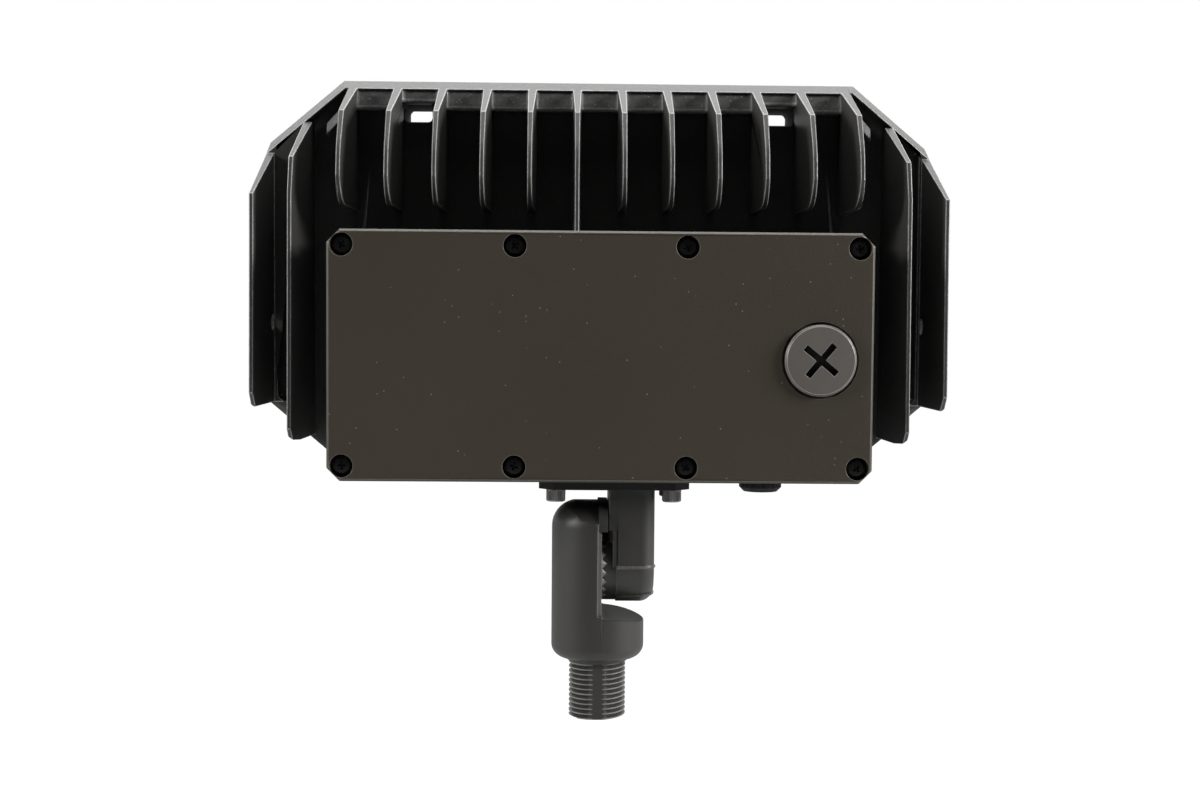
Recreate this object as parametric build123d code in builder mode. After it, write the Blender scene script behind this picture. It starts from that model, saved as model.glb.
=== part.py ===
"""LED flood light: a finned die-cast head on a toothed swivel knuckle with a conduit nipple.

The origin is on the nipple's axis, at the shoulder where the nipple goes into its hub.
+Z is up, +Y points towards the lit side and +X to the right as seen from behind.
All sizes are millimetres.
"""
import os
from math import pi, radians, sqrt, tan

from build123d import *

# How far cuts run past a face and joined solids run into each other
overrun = 1.0
# How close an edge's centre lies to a face it belongs to
edge_tolerance = 0.01

# Conduit nipple and lower knuckle
nipple_diameter = 20.96
nipple_length = 22.1
nipple_flat_depth = 0.45
nipple_end_chamfer = 1.2
nipple_flat_start = 1.4
wire_bore = 12.4
knuckle_diameter = 34.2
foot_height = 4.6
foot_inset = 5.4
pivot_height = 34.4
lower_ear_radius = 23.6
lower_ear_round = 9.4
trough_floor = 13.8
trough_radius = 60.0
notch_face = 1.1
notch_round = 1.8
notch_bevel = 1.4
seal_length = 9.0
seal_wire_hole = 3.2
seal_hole_circle = 6.6

# Toothed joint faces
tooth_count = 24
tooth_height = 1.75
tooth_ring_radius = 13.4
tooth_ring_bore = 9.2
tooth_mid_face = 2.2
tooth_tip_flat = 0.12
tooth_clearance = 0.12
wire_chamber_depth = 5.1
wire_rise_x = -4.6
wire_rise_diameter = 8.6
wire_bore_cover = 5.8

# Upper knuckle: ear, arm and flange
ear_radius = 13.9
ear_inner_face = 6.4
ear_outer_face = 20.4
ear_round = 5.2
arm_inner_face = 3.6
arm_half_depth = 12.6
arm_round = 2.0
flash_height = 0.45
flash_width = 0.8
lower_flash_drop = 11.6
flange_length = 54.4
flange_depth = 37.0
flange_thickness = 3.0
flange_corner = 5.3
flange_offset = 5.4
flange_underside = 63.4
flange_gasket_thickness = 0.8
flange_screw_pitch_x = 42.2
flange_screw_pitch_y = 19.0
arm_passage_width = 4.6
arm_passage_depth = 11.0
arm_passage_wall = 1.4
floor_passage_width = 5.6

# Clamp bolt through the knuckle
bolt_diameter = 8.0
bolt_clearance = 0.3
bolt_thread_clearance = 0.05
bolt_head_diameter = 13.0
bolt_head_height = 8.0
bolt_socket = 6.0
bolt_socket_depth = 4.0
bolt_length = 25.0
bolt_hole_depth = 15.5
bolt_pocket_diameter = 15.4
bolt_seat_face = 10.0
bolt_seat_wall = 2.4
washer_diameter = 14.6
washer_thickness = 1.6

# Small machine screws
m4_diameter = 4.0
m4_clearance = 0.25
m4_tap_clearance = 0.05
m4_head_diameter = 7.0
m4_head_height = 4.0
m4_socket = 3.0
m4_socket_depth = 2.0
screw_edge = 0.4
screw_tip = 0.6
pan_edge = 0.6
cross_length = 3.8
cross_width = 1.0
cross_depth = 1.1
flange_screw_reach = 12.0
flange_washer_diameter = 7.0
flange_washer_thickness = 0.9
flange_boss_diameter = 8.4
flange_boss_height = 11.0
flange_tap_depth = 10.0

# Head outline: an upright rectangle with four cut corners
head_half_width = 129.6
head_height = 150.7
head_corner_run = 29.2
head_corner_drop = 24.6
head_base_drop = 0.2
wall_draft = 2.2

# Depths of the casting, along Y from the nipple's axis
fin_rear = -6.2
lip_rear = 36.0
base_rear = 42.0
rim_front = 46.4
led_seat = 48.0
head_front = 66.0
rim_drop = 4.2
lip_wall = 4.7
lip_round = 5.2

# Fins
fin_pitch = 17.4
short_fin_count = 12
fin_tip = 1.5
fin_root = 3.6
fin_knee_depth = 5.5
fin_knee_drop = 16.7
fin_shoulder_depth = -2.8
fin_shoulder_drop = 31.8
fin_edge_depth = -4.6
fin_edge_drop = 46.2
fin_foot_round = 14.0
fin_shoulder_round = 22.0
long_fin_top_drop = 17.5
long_fin_shoulder_depth = -0.8
long_fin_shoulder_drop = 34.5
long_fin_foot = 11.5
outer_fin_top_drop = 29.7
outer_fin_shoulder_drop = 48.3
outer_fin_root = 3.4
foot_bevel = 5.3

# Through slots beside the fins, accessory holes in the side walls
slot_width = 10.8
slot_height = 7.2
slot_round = 1.8
slot_cell = 4
slot_shift = 1.2
slot_top_drop = 9.1
side_hole_diameter = 5.8
side_hole_depth = 33.0
side_hole_rise = 55.7

# Driver box on the back of the casting
box_half_width = 96.2
box_height = 88.0
box_corner = 4.4
box_wall = 3.2
box_rear = -18.3
boss_diameter = 9.6
cover_tap_depth = 6.4

# Rear cover
cover_thickness = 6.0
cover_gasket_thickness = 0.8
cover_overhang = 0.4
cover_edge_bevel = 0.7
cover_screw_side_inset = 4.8
cover_screw_end_inset = 5.0
cover_recess_diameter = 8.2
cover_recess_depth = 4.6
cover_screw_head_height = 2.5
cover_screw_reach = 8.0

# Cross-slot plug in the cover's conduit port
plug_side_inset = 18.6
plug_rise = 43.4
plug_head_diameter = 25.4
plug_head_height = 2.4
plug_edge_bevel = 0.7
plug_recess_clearance = 0.9
plug_recess_depth = 1.2
plug_thread_diameter = 20.9
plug_thread_length = 8.0
plug_thread_clearance = 0.05
plug_slot_width = 2.3
plug_slot_length = 12.6
plug_slot_depth = 3.4
plug_slot_angle = 42.0
plug_seal_thickness = 0.9
port_boss_wall = 3.0
port_boss_height = 5.0

# Pressure vent under the driver box
vent_side_inset = 35.3
vent_y = 8.0
vent_cap_diameter = 15.8
vent_cap_height = 5.6
vent_cap_bevel = 1.6
vent_thread_diameter = 11.8
vent_thread_length = 7.0
vent_seal_thickness = 0.8

# LED driver and its leads
driver_length = 132.0
driver_height = 52.0
driver_depth = 34.0
driver_side_gap = 4.0
driver_tab = 9.0
driver_tab_thickness = 3.0
driver_edge_round = 2.5
driver_edge_bevel = 1.2
driver_screw_bite = 4.5
lead_diameter = 2.2
lead_pitch = 6.0
lead_bend = 6.0
lead_run = 13.0
lead_rise = 18.0
lead_hole = 3.2
splice_diameter = 9.0
splice_tip_diameter = 6.0
splice_skirt = 6.0
splice_length = 19.0
splice_bore = 4.5
splice_bore_depth = 9.5
splice_pitch = 14.0
splice_shift = -36.0

# Light opening in the front of the casting
window_half_width = 102.0
window_rim_bottom = 17.0
window_height = 102.0
window_corner_run = 20.0
window_corner_drop = 17.0
glass_margin = 2.2
glass_thickness = 4.0
gasket_margin = 3.4
gasket_lip = 0.65
gasket_cover = 2.0
frame_margin = 13.0
frame_thickness = 3.0
frame_sight = 2.4
frame_edge_bevel = 1.0
frame_screw_margin = 9.0
frame_screw_corner_inset = 15.0
frame_screw_bite = 7.0
frame_tap_depth = 8.5
frame_pad_diameter = 8.0
frame_pad_height = 0.9

# LED board and reflector
board_margin = 6.0
board_thickness = 1.6
chip_size = 3.6
chip_height = 0.8
chip_columns = 12
chip_rows = 6
chip_pitch_x = 13.0
chip_pitch_z = 13.0
board_screw_inset = 10.0
board_screw_rise = 18.0
board_screw_bite = 4.0
board_screw_head_height = 1.4
reflector_wall = 1.0
reflector_inset = 15.0
reflector_flare = 9.0

# Places that follow from the sizes above
nipple_radius = nipple_diameter / 2
knuckle_radius = knuckle_diameter / 2
flange_top = flange_underside + flange_thickness
head_base = flange_top + flange_gasket_thickness
outline_bottom = head_base - head_base_drop
outline_top = outline_bottom + head_height
side_bottom = outline_bottom + head_corner_drop
box_top = head_base + box_height
cover_front = box_rear - cover_gasket_thickness
cover_rear = cover_front - cover_thickness
cover_seat = cover_rear + cover_recess_depth
cover_screw_heights = (head_base + cover_screw_end_inset, box_top - cover_screw_end_inset)
cover_screw_outer = box_half_width - cover_screw_side_inset
cover_screw_columns = [cover_screw_outer * place / 3 for place in (-3, -1, 1, 3)]
window_bottom = outline_bottom + window_rim_bottom
window_top = window_bottom + window_height
window_middle = (window_bottom + window_top) / 2
gasket_thickness = glass_thickness + 2 * gasket_lip
rebate_floor = head_front - gasket_thickness
frame_front = head_front + frame_thickness
long_fin_x = fin_pitch * (short_fin_count / 2 + 0.5)
wall_shift = (rim_front - fin_rear) * tan(radians(wall_draft))
washer_face = bolt_seat_face + washer_thickness
passage_x = arm_inner_face + arm_passage_wall + arm_passage_width / 2
plug_recess_floor = cover_rear + plug_recess_depth
plug_seat = plug_recess_floor - plug_seal_thickness
board_front = led_seat + board_thickness
driver_center_height = head_base + box_height / 2
driver_x = box_wall - box_half_width + driver_side_gap + driver_tab + driver_length / 2
driver_end = driver_x + driver_length / 2
plug_x = box_half_width - plug_side_inset
plug_height = head_base + plug_rise
vent_x = box_half_width - vent_side_inset

cover_screw_places = [(x, z) for x in cover_screw_columns for z in cover_screw_heights]
flange_screw_places = [
    (flange_offset + side * flange_screw_pitch_x / 2, end * flange_screw_pitch_y / 2)
    for side in (-1, 1)
    for end in (-1, 1)
]
frame_screw_outer = window_half_width - frame_screw_corner_inset
frame_screw_columns = [frame_screw_outer * place / 3 for place in (-3, -1, 1, 3)]
frame_screw_places = [
    (x, z)
    for x in frame_screw_columns
    for z in (window_bottom - frame_screw_margin, window_top + frame_screw_margin)
] + [
    (side * (window_half_width + frame_screw_margin), window_middle) for side in (-1, 1)
]
frame_pad_places = [
    (side * frame_screw_outer, window_top + frame_screw_margin) for side in (-1, 1)
]
slot_places = [
    (side * (slot_cell * fin_pitch + slot_shift), outline_top - slot_top_drop - slot_height / 2)
    for side in (-1, 1)
]
driver_tab_places = [
    (driver_x + side * (driver_length + driver_tab) / 2, driver_center_height) for side in (-1, 1)
]
lead_heights = [driver_center_height + lead_rise + side * lead_pitch / 2 for side in (-1, 1)]
lead_hole_places = [(driver_end + lead_run, height) for height in lead_heights]
board_screw_places = [
    (side * (window_half_width - board_screw_inset), window_middle + end * board_screw_rise)
    for side in (-1, 1)
    for end in (-1, 1)
] + [(0, window_bottom + board_screw_inset), (0, window_top - board_screw_inset)]
splice_places = [driver_x + splice_shift + splice_pitch * index for index in range(3)]


def across(depth):
    """Upright plane at this depth that faces backwards, its own axes along X and Z."""
    return Plane.XZ.offset(-depth)


def cut_corner_outline(half_width, low, high, run, drop):
    """Upright rectangle about X = 0 with its four corners cut at a slant."""
    with BuildSketch() as outline:
        with BuildLine():
            Polyline(
                (-half_width, low + drop),
                (-half_width + run, low),
                (half_width - run, low),
                (half_width, low + drop),
                (half_width, high - drop),
                (half_width - run, high),
                (-half_width + run, high),
                (-half_width, high - drop),
                close=True,
            )
        make_face()
    return outline.sketch


def grown(outline, margin):
    """The same outline with every side moved outwards by margin."""
    with BuildSketch() as larger:
        add(outline)
        offset(amount=margin, kind=Kind.INTERSECTION, mode=Mode.REPLACE)
    return larger.sketch


head_outline = cut_corner_outline(
    head_half_width, outline_bottom, outline_top, head_corner_run, head_corner_drop
)
window_outline = cut_corner_outline(
    window_half_width, window_bottom, window_top, window_corner_run, window_corner_drop
)
box_outline = cut_corner_outline(box_half_width, head_base, box_top, box_corner, box_corner)


def toothed_ring(back_face, mid_face, facing, phase):
    """Ring of radial V teeth about the pivot axis, which narrow towards that axis.

    facing is +1 for teeth that stand towards +X and -1 for teeth that stand towards -X.
    phase turns the grooves, counted in teeth.
    """
    reach = tooth_ring_radius + overrun
    rise = tooth_height / 2 * reach / tooth_ring_radius
    half_pitch = reach * tan(pi / tooth_count)
    with BuildPart() as groove:
        with BuildSketch(Plane.XY.offset(reach)):
            with BuildLine():
                Polyline(
                    (mid_face - facing * rise, 0),
                    (mid_face + facing * 3 * rise, 2 * half_pitch),
                    (mid_face + facing * 3 * rise, -2 * half_pitch),
                    close=True,
                )
            make_face()
        loft(sections=[groove.pending_faces[0], Vertex(mid_face, 0, 0)], clean=False)
    tip_face = mid_face + facing * (tooth_height / 2 - tooth_tip_flat)
    with BuildPart() as ring:
        with BuildSketch(Plane.YZ.offset(back_face)):
            Circle(tooth_ring_radius)
            Circle(tooth_ring_bore, mode=Mode.SUBTRACT)
        extrude(amount=tip_face - back_face)
        for index in range(tooth_count):
            add(groove.part.rotate(Axis.X, 360 / tooth_count * (index + phase)), mode=Mode.SUBTRACT)
    return ring.part.moved(Location((0, 0, pivot_height)))


def ear_blank(growth=0.0):
    """Solid of the upper ear and arm: a round end about the pivot that runs up to the flange."""
    with BuildPart() as blank:
        with BuildSketch(Plane.YZ.offset(ear_inner_face)):
            with Locations((0, pivot_height)):
                Circle(ear_radius + growth)
            with Locations((0, pivot_height)):
                Rectangle(
                    2 * (ear_radius + growth),
                    flange_underside - pivot_height,
                    align=(Align.CENTER, Align.MIN),
                )
        extrude(amount=ear_outer_face + growth - ear_inner_face)
        outer_edges = blank.faces().sort_by(Axis.X)[-1].edges()
        fillet(outer_edges.filter_by(lambda edge: edge.center().Z < flange_underside - overrun), ear_round)
    return blank.part


def flash_line(height, slope):
    """Thin line of casting flash round the upper ear, which rises by slope across its width."""
    with BuildPart() as line:
        add(ear_blank(flash_height))
        with BuildSketch(Plane.XZ):
            with BuildLine():
                Polyline(
                    (ear_inner_face, height),
                    (ear_outer_face + overrun, height + slope),
                    (ear_outer_face + overrun, height + slope + flash_width),
                    (ear_inner_face, height + flash_width),
                    close=True,
                )
            make_face()
        extrude(amount=2 * ear_radius, both=True, mode=Mode.INTERSECT)
    return line.part


def socket_screw(diameter, length, head_diameter, head_height, socket, socket_depth):
    """Socket-head screw with its head's seat on Z = 0 and its shank pointing down."""
    with BuildPart() as screw:
        with BuildSketch():
            Circle(head_diameter / 2)
        extrude(amount=head_height)
        chamfer(screw.faces().sort_by(Axis.Z)[-1].edges(), screw_edge)
        with BuildSketch(Plane.XY.offset(head_height)):
            RegularPolygon(socket / sqrt(3), 6)
        extrude(amount=-socket_depth, mode=Mode.SUBTRACT)
        with BuildSketch():
            Circle(diameter / 2)
        extrude(amount=-length)
        chamfer(screw.faces().sort_by(Axis.Z)[0].edges(), screw_tip)
    return screw.part


def cross_screw(length, head_height):
    """Pan-head M4 screw with a cross recess, its head's seat on Z = 0 and its shank down."""
    with BuildPart() as screw:
        with BuildSketch():
            Circle(m4_head_diameter / 2)
        extrude(amount=head_height)
        chamfer(screw.faces().sort_by(Axis.Z)[-1].edges(), pan_edge)
        with BuildSketch(Plane.XY.offset(head_height)):
            Rectangle(cross_length, cross_width)
            Rectangle(cross_width, cross_length)
        extrude(amount=-cross_depth, mode=Mode.SUBTRACT)
        with BuildSketch():
            Circle(m4_diameter / 2)
        extrude(amount=-length)
    return screw.part


def fin_blade(profile, tip, root):
    """Fin with this side view, centred on X = 0 and thicker towards its root by the mould draft."""
    with BuildPart() as blade:
        with BuildSketch(Plane.YZ):
            add(profile)
        extrude(amount=root, both=True)
        with BuildSketch(Plane.XY.offset(outline_bottom)):
            with BuildLine():
                Polyline(
                    (-tip / 2, fin_rear),
                    (tip / 2, fin_rear),
                    (root / 2, base_rear + overrun),
                    (-root / 2, base_rear + overrun),
                    close=True,
                )
            make_face()
        extrude(amount=head_height, mode=Mode.INTERSECT)
    return blade.part


def short_fin_profile(rounded_foot):
    """Side view of a top fin, which ends in a rounded or a square foot above the driver box."""
    shoulder = (fin_shoulder_depth, outline_top - fin_shoulder_drop)
    foot = (fin_edge_depth, box_top - overrun)
    with BuildSketch() as profile:
        with BuildLine():
            Polyline(
                foot,
                (base_rear + overrun, box_top - overrun),
                (base_rear + overrun, outline_top - rim_drop),
                (lip_rear, outline_top - rim_drop),
                (fin_knee_depth, outline_top - fin_knee_drop),
                shoulder,
                (fin_edge_depth, outline_top - fin_edge_drop),
                close=True,
            )
        make_face()
        fillet(profile.vertices().sort_by_distance(shoulder)[0], fin_shoulder_round)
        if rounded_foot:
            fillet(profile.vertices().sort_by_distance(foot)[0], fin_foot_round)
    return profile.sketch


def side_fin_profile(top_drop, shoulder_depth, shoulder_drop, foot):
    """Side view of a full-height fin beside the driver box, bevelled at its lower rear corner."""
    with BuildSketch() as profile:
        with BuildLine():
            Polyline(
                (base_rear + overrun, foot),
                (base_rear + overrun, outline_top - top_drop),
                (lip_rear, outline_top - top_drop),
                (shoulder_depth, outline_top - shoulder_drop),
                (fin_edge_depth, outline_top - shoulder_drop - fin_foot_round),
                (fin_rear, foot + foot_bevel),
                (fin_rear + foot_bevel, foot),
                close=True,
            )
        make_face()
    return profile.sketch


# Lower knuckle: round body, upright ear and threaded nipple in one casting
with BuildPart() as lower_knuckle:
    with BuildSketch(Plane.XZ):
        with BuildLine():
            foot = Polyline((0, 0), (knuckle_radius - foot_inset, 0))
            TangentArc(
                (knuckle_radius, foot_height),
                foot @ 1,
                tangent=(0, -1),
            )
            Polyline(
                (knuckle_radius, foot_height),
                (knuckle_radius, pivot_height + lower_ear_radius),
                (0, pivot_height + lower_ear_radius),
                (0, 0),
            )
        make_face()
    revolve(axis=Axis.Z)
    with BuildSketch(Plane.YZ.offset(-knuckle_radius)):
        with Locations((0, pivot_height)):
            Circle(lower_ear_radius)
            Rectangle(
                2 * lower_ear_radius, 2 * pivot_height, align=(Align.CENTER, Align.MAX)
            )
    extrude(amount=knuckle_diameter, mode=Mode.INTERSECT)
    with BuildSketch(Plane.XZ) as ear_front:
        with Locations((-knuckle_radius, 0)):
            Rectangle(
                knuckle_diameter,
                pivot_height + lower_ear_radius,
                align=(Align.MIN, Align.MIN),
            )
        top_left = (-knuckle_radius, pivot_height + lower_ear_radius, 0)
        fillet(ear_front.vertices().sort_by_distance(top_left)[0], lower_ear_round)
    extrude(amount=knuckle_radius, both=True, mode=Mode.INTERSECT)
    with BuildSketch(Plane.YZ.offset(notch_face)):
        with Locations((0, trough_floor + trough_radius)):
            Circle(trough_radius)
    extrude(amount=knuckle_radius, mode=Mode.SUBTRACT)
    notch_foot = lower_knuckle.edges().sort_by_distance((notch_face, 0, trough_floor))[0]
    fillet(notch_foot, notch_round)
    notch_edge = sqrt(knuckle_radius**2 - notch_face**2)
    with BuildSketch(Plane.XY.offset(trough_floor + 2 * notch_round)) as notch_bevels:
        with BuildLine():
            Polyline(
                (notch_face, notch_edge - notch_bevel),
                (notch_face - 2 * notch_bevel, notch_edge + notch_bevel),
                (notch_face, notch_edge + notch_bevel),
                close=True,
            )
        make_face()
        mirror(about=Plane.XZ)
    extrude(amount=pivot_height + lower_ear_radius, mode=Mode.SUBTRACT)
    add(toothed_ring(notch_face - overrun, tooth_mid_face, 1, 0))
    with BuildSketch(Plane.YZ.offset(notch_face - wire_chamber_depth)):
        with Locations((0, pivot_height)):
            Circle(tooth_ring_bore)
    extrude(amount=wire_chamber_depth + overrun, mode=Mode.SUBTRACT)
    with BuildSketch(Plane.YZ.offset(-bolt_hole_depth)):
        with Locations((0, pivot_height)):
            Circle(bolt_diameter / 2 + bolt_thread_clearance)
    extrude(amount=bolt_hole_depth, mode=Mode.SUBTRACT)
    with BuildSketch(Plane.XZ):
        with BuildLine():
            Polyline(
                (0, overrun),
                (nipple_radius, overrun),
                (nipple_radius, -nipple_length + nipple_end_chamfer),
                (nipple_radius - nipple_end_chamfer, -nipple_length),
                (0, -nipple_length),
                close=True,
            )
        make_face()
    revolve(axis=Axis.Z)
    flat_face = nipple_radius - nipple_flat_depth
    with BuildSketch(Plane.XY.offset(-nipple_flat_start)):
        with Locations((0, flat_face), (0, -flat_face - nipple_radius)):
            Rectangle(nipple_diameter, nipple_radius, align=(Align.CENTER, Align.MIN))
    extrude(amount=-nipple_length, mode=Mode.SUBTRACT)
    with BuildSketch(Plane.XY.offset(-nipple_length)):
        Circle(wire_bore / 2)
    extrude(amount=nipple_length + trough_floor - wire_bore_cover, mode=Mode.SUBTRACT)
    with BuildSketch(Plane.XY):
        with Locations((wire_rise_x, 0)):
            Circle(wire_rise_diameter / 2)
    extrude(amount=pivot_height - bolt_diameter / 2 - overrun, mode=Mode.SUBTRACT)

# Rubber bung in the nipple, with a hole for each of three supply wires
with BuildPart() as wire_seal:
    with BuildSketch(Plane.XY.offset(-nipple_length + nipple_end_chamfer)):
        Circle(wire_bore / 2)
        with PolarLocations(seal_hole_circle / 2, 3, start_angle=90):
            Circle(seal_wire_hole / 2, mode=Mode.SUBTRACT)
    extrude(amount=seal_length)

# Upper knuckle: toothed ear, arm and screw flange in one casting
with BuildPart() as upper_knuckle:
    add(ear_blank())
    with BuildSketch(Plane.XY.offset(pivot_height + tooth_ring_bore)) as arm_foot:
        with Locations((arm_inner_face, 0)):
            Rectangle(
                (ear_inner_face + ear_outer_face) / 2 - arm_inner_face,
                2 * arm_half_depth,
                align=(Align.MIN, Align.CENTER),
            )
        fillet(arm_foot.vertices().group_by(Axis.X)[0], arm_round)
    extrude(amount=flange_underside - pivot_height - tooth_ring_bore)
    add(toothed_ring(ear_inner_face + overrun, tooth_mid_face + tooth_clearance, -1, 0.5))
    add(flash_line(pivot_height, 0))
    add(flash_line(pivot_height - lower_flash_drop, flash_width))
    with BuildSketch(Plane.XY.offset(flange_underside)) as flange:
        with Locations((flange_offset, 0)):
            Rectangle(flange_length, flange_depth)
        chamfer(flange.vertices(), flange_corner)
    extrude(amount=flange_thickness)
    with BuildSketch(Plane.YZ.offset(bolt_seat_face)):
        with Locations((0, pivot_height)):
            Circle(bolt_pocket_diameter / 2)
    extrude(amount=ear_outer_face, mode=Mode.SUBTRACT)
    with BuildSketch(Plane.YZ):
        with Locations((0, pivot_height)):
            Circle(bolt_diameter / 2 + bolt_clearance)
    extrude(amount=ear_outer_face, mode=Mode.SUBTRACT)
    with BuildSketch(Plane.YZ):
        with Locations((0, pivot_height)):
            Circle(tooth_ring_bore)
    extrude(amount=bolt_seat_face - bolt_seat_wall, mode=Mode.SUBTRACT)
    with BuildSketch(Plane.XY.offset(flange_top)) as passage:
        with Locations((passage_x, 0)):
            Rectangle(arm_passage_width, arm_passage_depth)
        fillet(passage.vertices(), arm_passage_wall)
    extrude(amount=pivot_height + tooth_ring_bore - overrun - flange_top, mode=Mode.SUBTRACT)
    with BuildSketch(Plane.XY.offset(flange_underside)):
        with Locations(*flange_screw_places):
            Circle(m4_diameter / 2 + m4_clearance)
    extrude(amount=flange_thickness, mode=Mode.SUBTRACT)

with BuildPart() as clamp_washer:
    with BuildSketch(Plane.YZ.offset(bolt_seat_face)):
        with Locations((0, pivot_height)):
            Circle(washer_diameter / 2)
            Circle(bolt_diameter / 2 + bolt_clearance, mode=Mode.SUBTRACT)
    extrude(amount=washer_thickness)

clamp_screw = socket_screw(
    bolt_diameter, bolt_length, bolt_head_diameter, bolt_head_height, bolt_socket, bolt_socket_depth
)
with BuildPart() as clamp_bolt:
    with Locations(Location((washer_face, 0, pivot_height), (0, 90, 0))):
        add(clamp_screw)

with BuildPart() as flange_gasket:
    with BuildSketch(Plane.XY.offset(flange_top)) as gasket_outline:
        with Locations((flange_offset, 0)):
            Rectangle(flange_length, flange_depth)
        chamfer(gasket_outline.vertices(), flange_corner)
        with Locations((passage_x, 0)):
            SlotOverall(arm_passage_depth, floor_passage_width, rotation=90, mode=Mode.SUBTRACT)
        with Locations(*flange_screw_places):
            Circle(m4_diameter / 2 + m4_clearance, mode=Mode.SUBTRACT)
    extrude(amount=flange_gasket_thickness)

with BuildPart() as flange_washers:
    with BuildSketch(Plane.XY.offset(flange_underside)):
        with Locations(*flange_screw_places):
            Circle(flange_washer_diameter / 2)
            Circle(m4_diameter / 2 + m4_clearance, mode=Mode.SUBTRACT)
    extrude(amount=-flange_washer_thickness)

flange_screw = socket_screw(
    m4_diameter, flange_screw_reach, m4_head_diameter, m4_head_height, m4_socket, m4_socket_depth
)
flange_screw_seat = flange_underside - flange_washer_thickness
with BuildPart() as flange_screws:
    with Locations(
        *[Location((x, y, flange_screw_seat), (180, 0, 0)) for x, y in flange_screw_places]
    ):
        add(flange_screw)

# Finned casting: heat sink, light housing and driver box in one piece
short_fin = fin_blade(short_fin_profile(True), fin_tip, fin_root)
stiffener_fin = fin_blade(short_fin_profile(False), fin_tip, fin_root)
long_fin_profile = side_fin_profile(
    long_fin_top_drop, long_fin_shoulder_depth, long_fin_shoulder_drop, outline_bottom + long_fin_foot
)
long_fin = fin_blade(long_fin_profile, fin_tip, fin_root)
outer_fin_profile = side_fin_profile(
    outer_fin_top_drop, fin_edge_depth, outer_fin_shoulder_drop, side_bottom
)
outer_fin = fin_blade(outer_fin_profile, 2 * (fin_tip + wall_shift), 2 * outer_fin_root)
short_fin_columns = [
    fin_pitch * (index - (short_fin_count - 1) / 2) for index in range(short_fin_count)
]
stiffener_column = short_fin_columns[short_fin_count // 2 - 1]
plain_columns = [x for x in short_fin_columns if x != stiffener_column]

# Outside of the casting, whose walls draw in towards the back
with BuildPart() as envelope:
    with BuildSketch(across(rim_front)):
        add(head_outline)
    extrude(amount=rim_front - fin_rear, taper=wall_draft)
    with BuildSketch(across(rim_front)):
        add(head_outline)
    extrude(amount=rim_front - head_front)

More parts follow.
